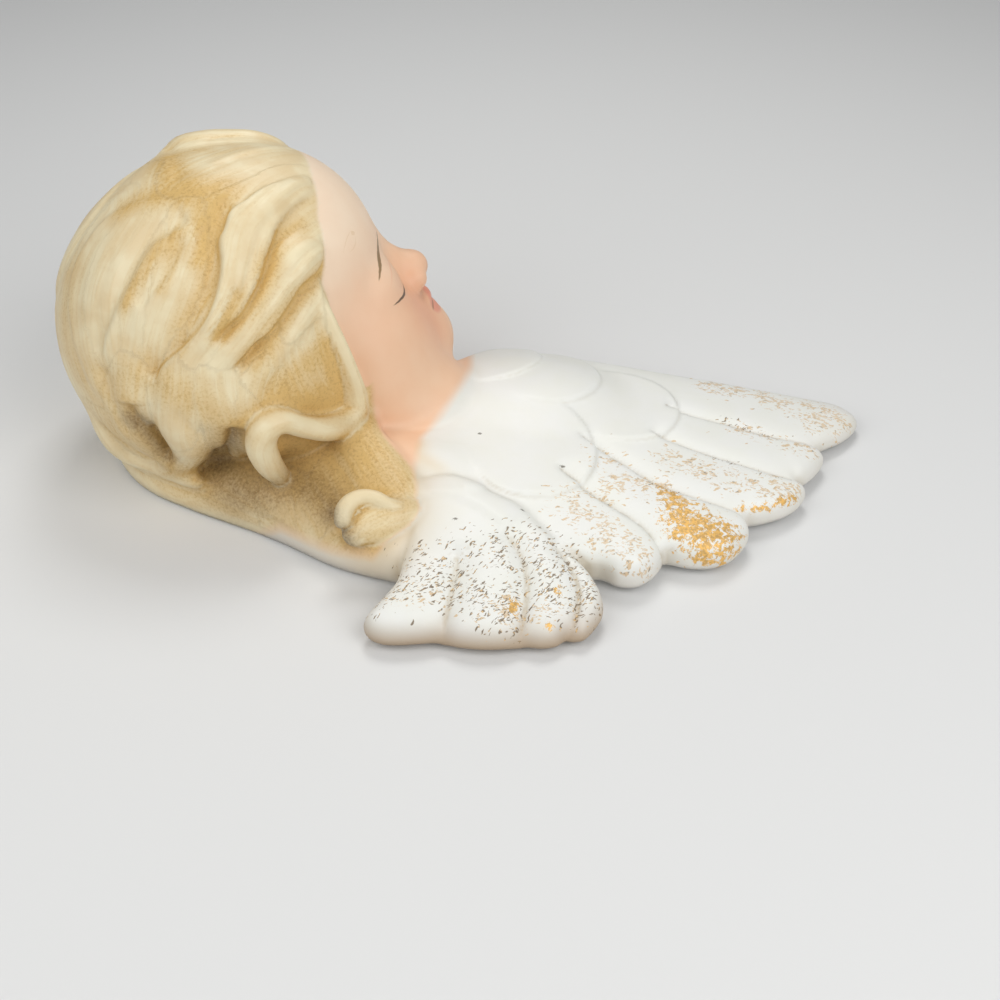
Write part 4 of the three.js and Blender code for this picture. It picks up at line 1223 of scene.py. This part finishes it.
def paintPlaque(plaque):
    material = bpy.data.materials.new("paintedBisque")
    material.use_nodes = True
    tree = material.node_tree
    shader = tree.nodes["Principled BSDF"]
    place = lyingVector(tree)
    noises = makeNoises(tree, place)
    strands = combedStrands(tree)
    out, aside, up = headVector(tree, place)
    hand = calc(tree, "ABSOLUTE", aside)
    wobble = up + (noiseAt(tree, place, 0.5, 2) - 0.5) * 0.5
    skin = skinColour(tree, noises, out, hand, up, wobble)
    base = blendColour(tree, mark(tree, "wing"), skin, wingColour(tree, noises, place))
    base = blendColour(tree, mark(tree, "hair"), base, hairColour(tree, noises, strands))
    base, gilt = metalPaint(tree, noises, place, base)
    front = stepUp(tree, out, *finish["faceFront"])
    base = handlingMarks(tree, noises, place, front, aside, wobble, base)
    tree.links.new(base, shader.inputs["Base Color"])
    tree.links.new((gilt * finish["giltMetal"]).socket, shader.inputs["Metallic"])
    rough = noises["grain"] * finish["roughness"][1] + finish["roughness"][0]
    tree.links.new((rough + gilt * 0.04).socket, shader.inputs["Roughness"])
    heights = (noises["grain"], noises["fine"], strands * mark(tree, "hair"))
    bump = 0.0
    for height, share in zip(heights, finish["bump"]):
        bump = height * share + bump
    relief = addNode(tree, "Bump", {"Height": bump, "Strength": 0.5, "Distance": 0.0002})
    tree.links.new(relief.outputs[0], shader.inputs["Normal"])
    plaque.data.materials.clear()
    plaque.data.materials.append(material)


paintPlaque(plaque)
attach(plaque, "root")
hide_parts("cherub_plaque")

# Studio: a pale board behind the plaque. It is see-through from its back, and lets scattered light
# through close to the plaque, so that the flat back isn't black.
studio = {
    "boardGap": 0.0004,      # m between the plaque's back and the board
    "boardSize": 3.0,
    "boardColour": (0.74, 0.74, 0.73, 1),
    "boardRoughness": 0.8,
    "closeBy": 0.003,        # m, light scattered from nearer than this passes the board
    "aim": (30, -8, 0),      # lying mm, the middle of the picture
    "height": 38,            # degrees above the board
    "distance": 270,         # mm
    "view": 39,              # degrees across the picture
    "sky": (0.95, 0.97, 1, 1),
    "skyStrength": 0.22,
}
# where each lamp stands and what it's aimed at in lying mm, its size in m, its power in W and its colour
lamps = {
    "key": [(40, 200, 410), (20, 0, 20), 0.16, 0.62, (1, 1, 0.99)],
    "fillRight": [(270, -270, 290), (10, 0, 10), 0.35, 1.2, (1, 1, 1)],
    "fillLeft": [(-230, -200, 300), (0, 0, 10), 0.35, 0.75, (1, 1, 1)],
}


def makeBoard():
    half = studio["boardSize"] / 2
    gap = studio["boardGap"]
    mesh = bpy.data.meshes.new("board")
    mesh.from_pydata([(-half, gap, -half), (half, gap, -half), (half, gap, half), (-half, gap, half)], [],
                     [(0, 1, 2, 3)])
    board = bpy.data.objects.new("board", mesh)
    bpy.context.scene.collection.objects.link(board)
    material = bpy.data.materials.new("boardPaper")
    material.use_nodes = True
    tree = material.node_tree
    shader = tree.nodes["Principled BSDF"]
    shader.inputs["Base Color"].default_value = studio["boardColour"]
    shader.inputs["Roughness"].default_value = studio["boardRoughness"]
    behind = addNode(tree, "NewGeometry").outputs["Backfacing"]
    path = addNode(tree, "LightPath").outputs
    close = calc(tree, "LESS_THAN", path["Ray Length"], studio["closeBy"])
    through = most(tree, behind, close * path["Is Diffuse Ray"])
    clear = addNode(tree, "BsdfTransparent").outputs[0]
    either = addNode(tree, "MixShader", {0: through, 1: shader.outputs[0], 2: clear})
    tree.links.new(either.outputs[0], tree.nodes["Material Output"].inputs["Surface"])
    mesh.materials.append(material)


def makeCamera():
    height = math.radians(studio["height"])
    back = np.array([0, -math.cos(height), math.sin(height)])
    place = toHung([np.array(studio["aim"]) + studio["distance"] * back])[0]
    axes = [toHung([v])[0] * 1000 for v in ((1, 0, 0), (0, math.sin(height), math.cos(height)), back)]
    data = bpy.data.cameras.new("camera")
    data.angle = math.radians(studio["view"])
    data.clip_start = 0.01
    camera = bpy.data.objects.new("camera", data)
    turn = Matrix([list(row) for row in np.array(axes).T]).to_4x4()
    camera.matrix_world = Matrix.Translation(Vector(place)) @ turn
    bpy.context.scene.collection.objects.link(camera)
    bpy.context.scene.camera = camera


def makeLight(name, place, aim, size, power, colour):
    data = bpy.data.lights.new(name, "AREA")
    data.energy, data.size, data.color = power, size, colour
    light = bpy.data.objects.new(name, data)
    spot, target = (Vector(toHung([v])[0]) for v in (place, aim))
    light.location = spot
    light.rotation_euler = (target - spot).to_track_quat("-Z", "Y").to_euler()
    bpy.context.scene.collection.objects.link(light)


makeBoard()
makeCamera()
for name, settings in lamps.items():
    makeLight(name, *settings)
bpy.context.scene.view_settings.view_transform = "Standard"
world = bpy.data.worlds.new("studio")
bpy.context.scene.world = world
world.use_nodes = True
sky = world.node_tree.nodes["Background"]
sky.inputs["Color"].default_value = studio["sky"]
sky.inputs["Strength"].default_value = studio["skyStrength"]
